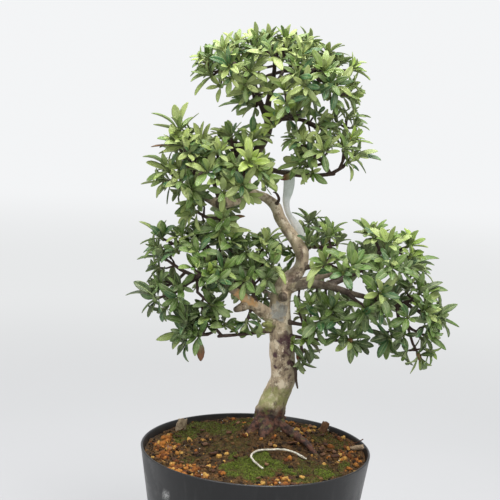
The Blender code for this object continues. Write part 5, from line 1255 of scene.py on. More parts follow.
# Marks on the bark: zone, across, up, back, reach in millimetres, strength
MARKS = (
    (Zone.SCAR, 14.6, 241.5, -3, 4.4, 0.74), (Zone.SCAR, 14.2, 241.8, -3, 1.7, 1),
    (Zone.DUST, 12.4, 231, 1.5, 7.2, 0.75), (Zone.SCAR, 33, 251, -2, 12, 0.7),
    (Zone.SCAR, 52, 250, -7, 12, 0.7), (Zone.SCAR, 23, 254, 6, 6, 0.5), (Zone.ALGAE, 4, 220, 1, 5.5, 0.9),
    (Zone.RAW, 3, 215.5, 4, 3.6, 0.8), (Zone.FLAKE, 17.5, 210.5, 3.5, 5.6, 1),
    (Zone.FLAKE, 20.5, 203, 4.5, 4.4, 1), (Zone.FLAKE, 11, 198.5, 5, 2.5, 1),
    (Zone.FLAKE, 20.5, 194, 6, 2.8, 1), (Zone.FLAKE, 20, 188.5, 6, 2.3, 1),
    (Zone.FLAKE, 12.5, 190.5, 7, 2.2, 1), (Zone.FLAKE, 21, 184, 7, 2.7, 1), (Zone.ALGAE, 5, 166, 10, 9, 0.8),
    (Zone.ALGAE, 16, 168, 9, 9, 0.7), (Zone.RAW, -17, 242, -11, 4, 1), (Zone.RAW, -13.5, 239.5, -9.5, 4.2, 1),
    (Zone.RAW, -9.5, 236.8, -7, 3.8, 1), (Zone.RAW, -6, 235, -5, 3, 0.9), (Zone.SCAR, -14, 229.5, -7, 3, 0.7),
    (Zone.SCAR, -33, 306.5, -2, 4.6, 0.85), (Zone.FLAKE, 20, 258, 0, 6, 0.5), (Zone.ALGAE, 6, 268, 2, 6, 0.3),
    (Zone.RAW, 33, 145, -4, 6, 0.8), (Zone.RAW, -9, 142, 3, 5, 0.7), (Zone.ALGAE, 8, 180, 4, 5, 0.3),
    (Zone.FLAKE, 24, 270, -2, 4, 0.4), (Zone.SCAR, 26.4, 262, -2, 1.6, 0.6),
)


@dataclass
class Trunk:
    """The trunk with its surface roots, branches, cut stubs and scars, fused and weathered."""
    voxel: float = 0.00062
    ridge: float = 0.00045
    stout: float = 0.0006          # bark that stands proud of the thick wood
    gnarled: tuple = (0.165, 0.146)     # heights between which the bark turns gnarled
    earthy: tuple = (0.16, 0.15)        # between which earth begins to cling to it
    painted_light_turn: tuple = (0.215, 0.25)       # between which its right side turns from painted shade to pale painted light
    crown_shade_and_dark_bark: tuple = (0.33, 0.348)       # between which it begins to count as thinner wood, for its dark bark and for painted shade inside the crown
    stem_steps: int = 8
    branch_steps: int = 5

    def paths(self) -> list[Trail]:
        """Every length of grown wood."""
        wood = [smooth_path(TRUNK, self.stem_steps)]
        wood += [smooth_path(points, self.branch_steps) for points in ROOTS]
        wood += [smooth_path(points, self.branch_steps) for points in BRANCHES.values()]
        wood.append(smooth_path(TWIG_BRANCH, 2))
        return wood

    def fused(self, paths: list[Trail]) -> bpy.types.Mesh:
        """One skin round all the wood."""
        surface = Surface()
        for k, path in enumerate(paths):
            surface.add(*tube(path, 24 if k == 0 else 14))
        thing = surface.thing("wood")
        fuse = thing.modifiers.new("fuse", "REMESH")
        fuse.mode = "VOXEL"
        fuse.voxel_size = self.voxel * 1.0
        soften = thing.modifiers.new("soften", "SMOOTH")
        soften.factor, soften.iterations = 0.5, 3
        return evaluated(thing)

    def girth(self, places: Array, paths: list[Trail]) -> Array:
        """The radius of the wood nearest to each place."""
        knots = np.array([(*place, radius) for path in paths for place, radius in path])
        nearest = np.empty(len(places))
        for start in range(0, len(places), 4096):
            block = places[start:start + 4096]
            gap = np.linalg.norm(block[:, None] - knots[None, :, :3], axis=2) - knots[None, :, 3]
            nearest[start:start + 4096] = knots[gap.argmin(axis=1), 3]
        return nearest

    def build(self, look: bpy.types.Material) -> None:
        """Fuse, roughen and mark the wood, and paint light on one side and shade on the other."""
        paths = self.paths()
        mesh = self.fused(paths)
        places = mesh_points(mesh)
        normals = np.empty(len(places) * 3, np.float32)
        mesh.vertex_normals.foreach_get("vector", normals)
        normals = normals.reshape(-1, 3).astype(float)
        girth = self.girth(places, paths)
        drawn = places * np.array([1.0, 1.0, 0.32])
        thick = soft_step(0.0012, 0.0075, girth)
        plates = rumple(drawn, 0.0042, 3, 3)
        relief = np.sign(plates) * np.abs(plates) ** 0.8
        root = soft_step(*self.gnarled, places[:, 2])
        gnarl = rumple(places * np.array([1.0, 1.0, 0.6]), 0.0065, 8, 3) * 0.0015 * root
        swell = rumple(places, 0.012, 12, 2) * 0.00035
        crust = rumple(places, 0.0024, 19, 2) * 0.0007 * root * soft_step(0.0015, 0.0035, girth)
        shift = relief * self.ridge * (0.18 + 0.82 * thick) + (gnarl + swell) * thick + crust
        shift += self.stout * soft_step(0.004, 0.0075, girth)
        places = places + normals * shift[:, None]
        mesh.vertices.foreach_set("co", places.astype(np.float32).ravel())
        for zone in (Zone.ALGAE, Zone.DUST, Zone.FLAKE, Zone.RAW, Zone.SCAR):
            set_value(mesh, zone.value, self.marks(places, zone))
        # painted shade and dark bark: inside the crown the girth value is lowered, so the wood there is
        # painted darker
        set_value(mesh, Zone.GIRTH.value, girth * (1.0 - 0.42 * soft_step(*self.crown_shade_and_dark_bark, places[:, 2])))
        # Painted light and painted shade: the tint value is high on the side that faces the light, the left
        # low down and the right higher up, and low on the other side
        upper = soft_step(*self.painted_light_turn, places[:, 2])
        painted_light_side = normals[:, 0] * (1.4 * upper - 0.4) + rumple(places, 0.006, 17, 2) * 0.25
        set_value(mesh, Zone.TINT.value, soft_step(-0.7, 0.9, painted_light_side))
        low = rumple(places, 0.005, 27, 2) * 0.004
        earth = soft_step(*self.earthy, places[:, 2] + low) * (1.0 - 0.6 * self.marks(places, Zone.RAW))
        set_value(mesh, Zone.EARTH.value, earth)
        mesh.update()
        mesh.shade_smooth()
        add_piece(link("trunk_wood", mesh), look, "trunk")

    def marks(self, places: Array, zone: Zone) -> Array:
        """How strongly each place is marked in one way."""
        total = np.zeros(len(places))
        ragged = rumple(places, 0.0026, 33) * 0.32
        for kind, across, up, back, reach, strength in MARKS:
            if kind is not zone:
                continue
            gap = np.linalg.norm(places - np.array(sketch(across, up, back)), axis=1) * 1000.0 / reach
            total = np.maximum(total, (1.0 - soft_step(0.78, 1.04, gap + ragged)) * strength)
        height = places[:, 2]
        if zone is Zone.ALGAE:
            total = np.maximum(total, soft_step(0.18, 0.16, height) * (0.25 + ragged))
        if zone is Zone.FLAKE:
            total = np.maximum(total, soft_step(0.16, 0.148, height) * (0.75 + ragged))
            left = soft_step(0.002, -0.003, places[:, 0] - 0.016) * soft_step(0.244, 0.256, height)
            total = np.maximum(total, left * soft_step(0.3, 0.285, height) * (0.3 + ragged))
        if zone is Zone.SCAR:
            speck = lattice_noise(places * np.array([1.0, 1.0, 0.6]), 0.0032, 44)
            total = np.maximum(total, soft_step(0.66, 0.8, speck) * 0.55)
        return np.clip(total, 0.0, 1.0)


# ---- leaves

class Company:
    """What stands already, to keep new twigs clear of it."""

    def __init__(self) -> None:
        self.trees: list[tuple[BVHTree, Vector, float, str]] = []

    def add(self, tree: BVHTree, middle: Vector, reach: float, owner: str) -> None:
        """Note one standing thing."""
        self.trees.append((tree, middle, reach, owner))

    def hit(self, tree: BVHTree, middle: Vector, reach: float, skip: str) -> bool:
        """Whether a new thing crosses what stands, apart from what skip owns."""
        return any(owner != skip and (place - middle).length <= reach + size and tree.overlap(other)
                   for other, place, size, owner in self.trees)


@dataclass
class Whorl:
    """A tuft of leaves at the end of a twig."""
    hub: Vector
    axis: Vector
    youth: float
    tips: Sequence[tuple[float, float, float]]
    path: Trail


@dataclass
class LeafRule:
    """How leaves stand in a whorl. The lengths are metres."""
    length: float = 0.0185
    width_share: float = 0.34
    widest: float = 0.0082
    number: int = 8
    twig_closest: float = 0.75
    same: float = 0.955             # a ruled leaf that lies this close to a sketched one is left out

    def facing(self, along: Vector, share: float) -> Vector:
        """The way a leaf's upper side looks, so that the front sees a share of its width."""
        toward = Vector((0.0, -1.0, 0.12))
        toward = (toward - along * toward.dot(along)).normalized()
        aside = along.cross(toward)
        if aside.z < 0.0:
            aside = -aside
        return toward * share + aside * math.sqrt(max(1.0 - share * share, 0.0))

    def sketched(self, whorl: Whorl, tip: tuple[float, float, float]) -> Leaf:
        """Tip, face and width of a leaf whose tip the sketch shows."""
        across, up, share = tip
        level = whorl.hub.y * 1000.0
        end = sketch(across, up, level)
        length = (end - whorl.hub).length
        if length < self.length * 0.9:
            toward = math.sqrt((self.length * 0.9) ** 2 - length ** 2) * 0.8
            level += -toward * 1000.0 if whorl.axis.y < 0.3 else toward * 1000.0
            end = sketch(across, up, level)
        along = (end - whorl.hub).normalized()
        width = min(max((end - whorl.hub).length * self.width_share, 0.0048), self.widest)
        return end, self.facing(along, share), width

    def ruled(self, whorl: Whorl, number: int, draw: random.Random, turn: float) -> Leaf:
        """Tip, face and width by the whorl's rule: golden turns, the young ones upright."""
        axis, age = whorl.axis, number / (self.number - 1)
        spread = math.radians(82.0 - 46.0 * age - 14.0 * whorl.youth + draw.uniform(-9.0, 9.0))
        length = self.length * (1.0 - 0.32 * age) * draw.uniform(0.85, 1.12) * (1.0 - 0.15 * whorl.youth)
        around = turn + number * GOLDEN_TURN + draw.uniform(-0.25, 0.25)
        out = Matrix.Rotation(around, 3, axis) @ axis.orthogonal().normalized()
        along = axis * math.cos(spread) + out * math.sin(spread)
        face = axis * math.sin(spread) - out * math.cos(spread)
        width = min(length * self.width_share * draw.uniform(0.8, 1.15), self.widest)
        return whorl.hub + along * length, face, width

    def leaves(self, whorl: Whorl, draw: random.Random) -> list[Leaf]:
        """All leaves of a whorl, the sketched ones first."""
        back = (whorl.path[-2][0] - whorl.hub).normalized()
        turn = draw.uniform(0.0, math.tau)
        sketched = [self.sketched(whorl, tip) for tip in whorl.tips]
        ruled = [self.ruled(whorl, number, draw, turn) for number in range(self.number)]
        placed: list[Leaf] = []
        for number, leaf in enumerate(sketched + ruled):
            along = (leaf[0] - whorl.hub).normalized()
            near = number >= len(sketched) and any(
                along.dot((other[0] - whorl.hub).normalized()) > self.same for other in placed)
            if near or along.dot(back) > self.twig_closest:
                continue
            placed.append(leaf)
        return placed


@dataclass
class CrowdRule:
    """Smaller tufts on side twigs round each whorl, a little lower and further in than it is."""
    number: int = 2
    aside: tuple[float, float] = (0.0065, 0.0095)
    behind: tuple[float, float] = (0.001, 0.006)
    leaves: int = 7
    length: float = 0.8             # of a full leaf
    slim: float = 0.88              # of a full leaf's width
    clear: float = 0.0045           # least room to the trunk
    twig: float = 0.0006

    def tufts(self, whorl: Whorl, wood: BVHTree, draw: random.Random) -> list[Whorl]:
        """Side tufts of one whorl."""
        found: list[Whorl] = []
        start = draw.uniform(0.0, math.tau)
        for k in range(self.number):
            around = start + math.tau * (k + draw.uniform(-0.2, 0.2)) / self.number
            out = Matrix.Rotation(around, 3, whorl.axis) @ whorl.axis.orthogonal().normalized()
            hub = whorl.hub + out * draw.uniform(*self.aside) - whorl.axis * draw.uniform(*self.behind)
            if wood.find_nearest(hub)[3] < self.clear:
                continue
            axis = (whorl.axis + out * draw.uniform(0.4, 1.0) + Vector((0.0, 0.0, 0.25))).normalized()
            root = whorl.path[-2][0].lerp(whorl.hub, draw.uniform(0.2, 0.6))
            middle = root.lerp(hub, 0.5) + out * 0.0008 - whorl.axis * 0.0008
            path = [(root, self.twig * 1.3), (middle, self.twig * 1.1), (hub, self.twig)]
            found.append(Whorl(hub, axis, whorl.youth * draw.uniform(0.3, 1.0), (), path))
        return found


def array_field(*numbers: float) -> Array:
    """A dataclass field that holds an array of numbers."""
    return field(default_factory=lambda: np.array(numbers))


@dataclass
class BladeShape:
    """The shape that every leaf shares, as arrays over its stations."""
    along: Array = array_field(0.09, 0.24, 0.44, 0.64, 0.83, 0.955)
    share: Array = array_field(0.15, 0.52, 0.88, 1.0, 0.83, 0.42)
    lens: Array = array_field(0.22, 0.64, 0.96, 0.94, 0.62, 0.24)
    across: Array = array_field(-1.0, -0.52, 0.0, 0.52, 1.0)
    thickness: float = 0.00034
    arch: float = 0.07
    fold: float = 0.22

    def faces(self) -> tuple[Array, Array]:
        """Quads and triangles of one blade, upper side, under side, base and tip."""
        rows = len(self.along)
        upper = 2 + np.arange(rows)[:, None] * 8 + np.arange(5)
        lower = np.concatenate([upper[:, :1], upper[:, :1] + np.array([5, 6, 7]), upper[:, 4:]], axis=1)
        top = np.stack([upper[:-1, :-1], upper[:-1, 1:], upper[1:, 1:], upper[1:, :-1]], -1).reshape(-1, 4)
        low = np.stack([lower[:-1, :-1], lower[1:, :-1], lower[1:, 1:], lower[:-1, 1:]], -1).reshape(-1, 4)
        zero, one = np.zeros(4, int), np.ones(4, int)
        ends = np.concatenate([
            np.stack(corners, -1) for corners in (
                (zero, upper[0, 1:], upper[0, :-1]), (zero, lower[0, :-1], lower[0, 1:]),
                (one, upper[-1, :-1], upper[-1, 1:]), (one, lower[-1, 1:], lower[-1, :-1]))])
        return np.concatenate([top, low]), ends

    def points(self, hubs: Array, tips: Array, faces: Array, widths: Array,
               draw: np.random.Generator) -> tuple[Array, Array, Array, Array]:
        """The points of many blades at once.

        A point of the upper side is hub + t * length * along + s * half * side + rise * up. Its half width
        is width / 2 times a blend of share(t), widest near the tip, and lens(t), widest in the middle. Its
        rise is the arch 4 t (1 - t), the fold |s| and a small ripple.

        Args:
            hubs: where each leaf starts.
            tips: where it ends.
            faces: the way its upper side looks.
            widths: its greatest width.
            draw: for the small differences between leaves.

        Returns:
            The points (leaves, points, 3), and for one blade each its along, across and under values.
        """
        count, rows = len(hubs), len(self.along)
        along = tips - hubs
        length = np.linalg.norm(along, axis=1)
        along = unit(along)
        side = unit(np.cross(along, faces))
        up = np.cross(side, along)
        t, s = self.along[None, :, None], self.across[None, None, :]
        blend = draw.random((count, 1, 1))
        half = widths[:, None, None] / 2 * (self.share[:, None] * (1.0 - blend) + self.lens[:, None] * blend)
        arch = self.arch * draw.uniform(-0.2, 2.2, (count, 1, 1))
        fold = self.fold * draw.uniform(0.5, 2.4, (count, 1, 1))
        ripple = 0.05 * np.sin(t * 9.0 + draw.uniform(0.0, 6.0, (count, 1, 1)) + s * 1.4) * np.abs(s)
        rise = 4.0 * t * (1.0 - t) * arch * length[:, None, None]
        rise = rise + half * (fold * np.abs(s) ** 1.3 + ripple)
        start = 0.045 + 0.955 * t
        middle = hubs[:, None, None] + along[:, None, None] * (start * length[:, None, None])[..., None]
        twist = draw.normal(0.0, 0.1, (count, 1, 1)) * (t - 0.3) * s * half
        top = middle + side[:, None, None] * (s * half)[..., None]
        top = top + up[:, None, None] * (rise + twist)[..., None]
        low = top[:, :, 1:4] - up[:, None, None] * self.thickness
        base = hubs + along * length[:, None] * 0.03
        body = np.concatenate([top, low], axis=2).reshape(count, rows * 8, 3)
        points = np.concatenate([base[:, None], tips[:, None], body], axis=1)
        spread = np.concatenate([self.across, self.across[1:4]])
        ones = np.ones(rows * 8).reshape(rows, 8)
        far = np.concatenate([[0.0, 1.0], (self.along[:, None] * ones).ravel()])
        wide = np.concatenate([[0.0, 0.0], (spread * ones).ravel()])
        under = np.concatenate([[0.0, 0.0], (np.array([0.0] * 5 + [1.0] * 3) * ones).ravel()])
        return points, far, wide, under


CROWN_SLIM = 0.86       # leaves of the crown are this much narrower
SKETCH_MATCH = 0.002    # a leaf or hub this close to a sketched place is the sketched one
# Small tufts that grow straight from a branch: spray, across, up and back of the root and of the tuft
LATE_TUFTS = (
    ("spray_right_near", (30, 222, 0), (26, 231.5, -5)),
    ("spray_right_near", (36, 222.2, -3), (34.5, 236, -9)),
    ("spray_right_near", (26, 250, 0.5), (25.5, 241, 6)),
    ("spray_right_near", (38, 251.6, -3.4), (39, 243, 5)),
    ("spray_right_near", (33, 222, -1.5), (31, 226, 8)),
    ("spray_right_near", (44, 250.8, -4.8), (46, 242, -2)),
    ("spray_low_near", (-6.6, 242, -5.6), (-1, 247.5, 1)),
    ("spray_low_near", (-7.3, 249, -6.8), (-0.5, 256, 4)), ("spray_low_back", (8, 240, 30), (0.5, 239, 24)),
)
# Stretches of the trunk that are left bare in front: least and greatest across, least and greatest up
BARE = ((6, 22.5, 165, 236), (12, 30, 256, 302))
BARE_BACK = 0.008       # leaves further back than this can't hide them
# Single leaves that are withered: spray, across and up of the tip, how much of the leaf
WITHERED = (
    ("spray_mid_tip", -84.9, 344.2, 0.9), ("spray_mid_low", -15.4, 298.4, 0.8),
    ("spray_low_bottom", -42.7, 191.1, 0.85), ("spray_right_side", 43.4, 201.2, 0.4),
)
# Dead leaves that hang: spray, then across, up and back of the base and of the tip
DEAD_LEAVES = (
    ("spray_crown_low", (19.5, 330, 1.5), (8, 325.6, 0)),
    ("spray_right_side", (27.5, 205, 1), (28.5, 194, 0.5)),
)
# Red and bronze buds: spray, across, up
RED_BUDS = (
    ("spray_crown_left", -47.5, 404.7), ("spray_crown_low", 55, 354.6), ("spray_right_outer", 114.7, 203.6),
    ("spray_right_low", 64.2, 212.1),
)


@dataclass
class Foliage:
    """The twigs and whorls of every spray."""
    rule: LeafRule = field(default_factory=LeafRule)
    blade: BladeShape = field(default_factory=BladeShape)
    gap: float = 0.0003
    fill_spacing: float = 0.0125
    twig_radius: float = 0.0009
    twig_thickest: float = 0.0016
    twig_step: float = 0.012
    twig_sunk: float = 0.002
    stem_length: float = 0.0034
    painted_top_light: float = 0.42               # painted light: how much paler the top leaves are than the lowest, which are painted darker as painted shade
    painted_top_light_span: tuple = (0.19, 0.37)  # heights between which they turn paler
    company: Company = field(default_factory=Company)
    crowd: CrowdRule = field(default_factory=CrowdRule)

    def fill_whorls(self, spray: Spray, taken: list[Vector], draw: random.Random) -> list[Vector]:
        """More whorls on the shell round the heart, away from the front and from each other."""
        count, wide, deep, high = spray.fill
        heart = sketch(*spray.heart)
        found: list[Vector] = []
        for _ in range(400):
            if len(found) == count:
                break
            way = Vector((draw.gauss(0.0, 1.0), draw.gauss(0.25, 1.0), draw.gauss(0.15, 0.8))).normalized()
            reach = draw.uniform(0.75, 1.0) * MM
            hub = heart + Vector((way.x * wide, way.y * deep, way.z * high)) * reach
            if spray.whorls and way.y < 0.1:
                continue
            if all((hub - other).length > self.fill_spacing for other in taken + found):
                found.append(hub)
        return found

    def bowed(self, start: Vector, thick: float, hub: Vector, bow: Vector) -> Trail:
        """A twig from standing wood to a whorl, as (place, radius) pairs."""
        span = (hub - start).length
        steps = max(2, round(span / self.twig_step)) if span > self.twig_step / 2 else 1
        shares = [k / steps for k in range(steps + 1)]
        return [(start.lerp(hub, t) + bow * (4.0 * t * (1.0 - t)), thick + (self.twig_radius - thick) * t)
                for t in shares]

    def clear_twig(self, wood: list, heading: Vector, hub: Vector, name: str) -> Trail | None:
        """A path from standing wood to a whorl, bent clear of what other pieces own."""
        nearest = sorted(wood, key=lambda knot: (knot[0] - hub).length + 0.35 * knot[2])[:4]
        for start, radius, _ in nearest:
            thick = max(min(radius, self.twig_thickest), self.twig_radius)
            span = (hub - start).length
            way = (hub - start).normalized()
            bows = [Vector((0.0, 0.0, -0.1 * span))]
            if start is wood[0][0]:
                bows.insert(0, (heading - way * heading.dot(way)) * 0.16 * span)
            for share in (0.15, 0.3):
                aside = way.orthogonal().normalized() * share * span
                bows += [Matrix.Rotation(math.tau * turn / 6, 3, way) @ aside for turn in range(6)]
            for bow in bows:
                path = self.bowed(start, thick, hub, bow)
                first = (path[1][0] - start).normalized() * self.twig_sunk
                probe = path_tree([(start + first, thick)] + path[1:], self.gap)
                if not self.company.hit(probe, (start + hub) / 2, span, name):
                    return path
        return None

    def grow(self, root: Vector, heading: Vector, radius: float, hubs: list[Vector], name: str) -> list:
        """Paths from the branch's end to every whorl, each from the nearest wood that stands."""
        wood = [(root + heading * self.twig_sunk / 2, radius, 0.0)]
        paths = []
        for hub in sorted(hubs, key=lambda place: (place - root).length):
            path = self.clear_twig(wood, heading, hub, name)
            if path is None:
                continue
            run = next(knot[2] for knot in wood if knot[0] == path[0][0])
            for (before, _), (place, size) in zip(path[:-2], path[1:-1]):
                wood.append((before.lerp(place, 0.7), size, run + (place - path[0][0]).length))
            paths.append((hub, path))
        return paths

    def plan(self) -> dict[str, tuple[Trail, list[Whorl]]]:
        """Stem and whorls of every spray."""
        plans = {}
        for number, (name, spray) in enumerate(SPRAYS.items()):
            draw = random.Random(Seed.TWIGS + number)
            points = TRUNK if spray.branch == "trunk" else BRANCHES.get(spray.branch, TWIG_BRANCH)
            (before, _), (end, radius) = smooth_path(points)[-2:]
            heading = (end - before).normalized()
            heart = sketch(*spray.heart)
            facts = [(sketch(*row[:3]), row[3], tuple(zip(row[4::3], row[5::3], row[6::3])))
                     for row in spray.whorls]
            if spray.fill:
                found = self.fill_whorls(spray, [fact[0] for fact in facts], draw)
                facts += [(hub, draw.choice((0.0, 0.1, 0.2, 0.6)), ()) for hub in found]
            root = end + heading * (self.gap + 0.0001)
            stem = [(root, radius), (root + heading * self.stem_length, radius * 0.9)]
            paths = self.grow(root, heading, radius, [fact[0] for fact in facts], name)
            whorls = []
            for hub, path in paths:
                _, youth, tips = next(fact for fact in facts if fact[0] == hub)
                axis = ((hub - heart).normalized() + Vector((0.0, 0.0, spray.lift))).normalized()
                whorls.append(Whorl(hub, axis, youth, tips, path))
            for path in [stem] + [path for _, path in paths]:
                middle = (path[0][0] + path[-1][0]) / 2
                self.company.add(path_tree(path, 0.0), middle, (path[0][0] - path[-1][0]).length, name)
            plans[name] = (stem, whorls)
        return plans

    def late_tuft(self, root: Sequence[float], hub: Sequence[float]) -> Whorl:
        """A tuft on a short twig from a branch."""
        start, end = sketch(*root), sketch(*hub)
        axis = ((end - start).normalized() + Vector((0.0, -0.5, 0.3))).normalized()
        path = [(start.lerp(end, t), self.crowd.twig * size)
                for t, size in ((0.0, 1.6), (0.5, 1.3), (1.0, 1.0))]
        return Whorl(end, axis, 0.35, (), path)

    def hides(self, hub: Vector, tip: Vector) -> bool:
        """Whether a leaf hides a bare stretch of the trunk from the sketcher's eye."""
        for share in (0.6, 1.0):
            place = hub.lerp(tip, share)
            seen = (EYE + (place - EYE) * (EYE.y / (EYE.y - place.y))) / MM
            if place.y < BARE_BACK and any(a < seen.x < b and c < seen.z < d for a, b, c, d in BARE):
                return True
        return False

    def leaf_rows(self, name: str, number: int, whorls: list[Whorl], tufts: list[Whorl]) -> Array:
        """One row per leaf.

        Args:
            name: the spray.
            number: its number, for the draws.
            whorls: its main whorls.
            tufts: its side tufts.

        Returns:
            Hub, tip, face, width, youth, place in the whorl, wither, and the whorl's tint of every leaf.
        """
        rows: list[tuple] = []
        slim = CROWN_SLIM if "crown" in name else 1.0
        for k, whorl in enumerate(whorls):
            draw = random.Random(Seed.WHORL * number + k)
            shade = random.Random(Seed.SHADE * number + k).random()
            for place, leaf in enumerate(self.rule.leaves(whorl, draw)):
                if place >= len(whorl.tips) and self.hides(whorl.hub, leaf[0]):
                    continue
                tip, face, width = leaf
                wither = max([share for spray, across, up, share in WITHERED
                              if spray == name and is_at(tip, across, up)] or [0.0])
                rows.append((*whorl.hub, *tip, *face, width * slim, whorl.youth, place, wither, shade))
        for k, tuft in enumerate(tufts):
            draw = random.Random(Seed.TUFT * number + k)
            # painted shade: side tufts sit further in, so their tone is kept a little darker
            shade = draw.random() * 0.8
            for place, (tip, face, width) in enumerate(self.rule.leaves(tuft, draw)[:self.crowd.leaves]):
                tip = tuft.hub.lerp(tip, self.crowd.length)
                if self.hides(tuft.hub, tip):
                    continue
                width *= self.crowd.slim
                rows.append((*tuft.hub, *tip, *face, width * slim, tuft.youth, place, 0.0, shade))
        for spray, start, end in DEAD_LEAVES:
            if spray == name:
                rows.append((*sketch(*start), *sketch(*end), 0.1, -0.9, 0.4, 0.005, 0.0, 0, 1.0, 0.4))
        return np.array(rows)

    def build_leaves(self, name: str, number: int, whorls: list[Whorl], tufts: list[Whorl],
                     look: bpy.types.Material) -> None:
        """All the blades and buds of one spray, made as whole arrays."""
        table = self.leaf_rows(name, number, whorls, tufts)
        draw = np.random.default_rng(Seed.BLADES + number)
        columns = table[:, :3], table[:, 3:6], table[:, 6:9], table[:, 9]
        points, far, wide, under = self.blade.points(*columns, draw)
        count, size = points.shape[:2]
        quads, ends = self.blade.faces()
        steps = np.arange(count)[:, None, None] * size
        tint = draw.random(count) * 0.62 + table[:, 13] * 0.38
        # painted light and painted shade: leaves high up are made paler, leaves low down darker
        tint = np.clip(tint + (soft_step(*self.painted_top_light_span, table[:, 2]) - 0.42) * self.painted_top_light, 0.0, 1.0)
        teal = draw.random(count)
        inner = np.clip(table[:, 11] / 7.0, 0.0, 1.0)
        youth = table[:, 10] * (0.25 + 0.75 * inner) * draw.uniform(0.6, 1.1, count) + inner * 0.1
        wither = table[:, 12, None] * soft_step(0.15, 0.75, far)[None] * np.ones((count, 1))
        surface = Surface()
        surface.add(points, [(quads + steps).reshape(-1, 4), (ends + steps).reshape(-1, 3)],
                    tint=np.repeat(tint, size), youth=np.repeat(np.clip(youth, 0.0, 1.0), size),
                    wither=wither, teal=np.repeat(teal, size),
                    under=np.tile(under, count), along=np.tile(far, count), across=np.tile(wide, count))
        self.add_buds(surface, name, whorls + tufts, draw)
        add_piece(surface.thing(name.replace("spray", "leaves")), look, name)

    def add_buds(self, surface: Surface, name: str, whorls: list[Whorl], draw: np.random.Generator) -> None:
        """A pointed bud in the middle of every whorl, red on a few."""
        for whorl in whorls:
            hub = whorl.hub
            red = any(spray == name and is_at(hub, across, up) for spray, across, up in RED_BUDS)
            size = float(draw.uniform(0.8, 1.15)) * (1.35 if red else 1.0)
            knots = ((-0.0012, 0.0011), (0.0004, 0.0014), (0.002, 0.0012), (0.0036, 0.0005))
            bud = [(hub + whorl.axis * along * size, radius * size) for along, radius in knots]
            surface.add(*tube(bud, 7), tint=0.2, youth=0.15 + whorl.youth * 0.5, wither=0.8 if red else 0.15,
                        under=0.2, along=0.5, across=0.6, teal=0.0)

    def build(self, leaf: bpy.types.Material, bark: bpy.types.Material) -> None:
        """Every spray: one piece of leaves, one of twigs."""
        for node in ("trunk", "name_tag"):
            self.company.add(node_tree(node), Vector((0.0, 0.0, 0.2)), 1.0, node)
        wood = self.company.trees[0][0]
        total = 0
        for number, (name, (stem, whorls)) in enumerate(self.plan().items()):
            draw = random.Random(Seed.TUFTS + number)
            tufts = [tuft for whorl in whorls for tuft in self.crowd.tufts(whorl, wood, draw)]
            tufts += [self.late_tuft(root, hub) for spray, root, hub in LATE_TUFTS if spray == name]
            self.build_leaves(name, number, whorls, tufts, leaf)
            twigs = Surface()
            for path in [stem] + [whorl.path for whorl in whorls + tufts]:
                girth = np.mean([radius for _, radius in path])
                points, faces = tube(path, 8)
                points = points + rumple(points, 0.0016, 91, 2)[:, None] * 0.00016
                twigs.add(points, faces, girth=girth, flake=0.15, tint=0.5,
                          algae=0.0, raw=0.0, scar=0.0, earth=0.0, dust=0.0)
            add_piece(twigs.thing(name.replace("spray", "twigs")), bark, name)
            total += len(whorls) + len(tufts)
        LOG.info("%d whorls and side tufts", total)


def is_at(place: Vector, across: float, up: float) -> bool:
    """Whether a place is the one that the sketch has at across and up."""
    return (sketch(across, up, place.y * 1000.0) - place).length < SKETCH_MATCH


def path_tree(path: Trail, extra: float) -> BVHTree:
    """A search tree of a thin square tube round a path."""
    points, faces = [], []
    for k, (place, radius) in enumerate(path):
        way = path[min(k + 1, len(path) - 1)][0] - path[max(k - 1, 0)][0]
        side = way.orthogonal().normalized() * (radius + extra)
        other = way.normalized().cross(side)
        points += [place + side, place + other, place - side, place - other]
        if k:
            low = 4 * k - 4
            faces += [(low + j, low + (j + 1) % 4, low + 4 + (j + 1) % 4, low + 4 + j) for j in range(4)]
    return BVHTree.FromPolygons(points, faces)


def node_tree(node: str) -> BVHTree:
    """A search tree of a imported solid, whose faces are triangles."""
    mesh = bpy.data.objects[node].data
    corners = np.empty(len(mesh.loops), np.int32)
    mesh.loops.foreach_get("vertex_index", corners)
    return BVHTree.FromPolygons(mesh_points(mesh).tolist(), corners.reshape(-1, 3).tolist())


# ---- small pieces

@dataclass
class Label:
    """The blank label that is tied behind the upper trunk."""
    thickness: float = 0.0005
    steps: int = 10

    def build(self, look: bpy.types.Material) -> None:
        """A bowed closed strip along its path."""
        path = smooth_path(TAG, self.steps)
        places = np.array([tuple(place) for place, _ in path])
        widths = np.array([width for _, width in path])
        rows, columns = len(path), 9
        s = np.linspace(-1.0, 1.0, columns)
        bow = (1.0 - s ** 2)[None] * 0.0007 + rumple(places, 0.02, 61, 2)[:, None] * 0.0003
        x = places[:, :1] + widths[:, None] / 2 * s
        front = np.stack([x, places[:, 1:2] - bow - self.thickness / 2, places[:, 2:] + x * 0.0], -1)
        sheet = front.reshape(-1, 3)
        back = sheet + np.array([0.0, self.thickness, 0.0])
        along = np.repeat(np.linspace(0.0, 1.0, rows), columns)
        label = solid("blank_label", np.concatenate([sheet, back]), plate_faces(rows, columns, True),
                      along=np.tile(along, 2))
        add_piece(label, look, "name_tag")


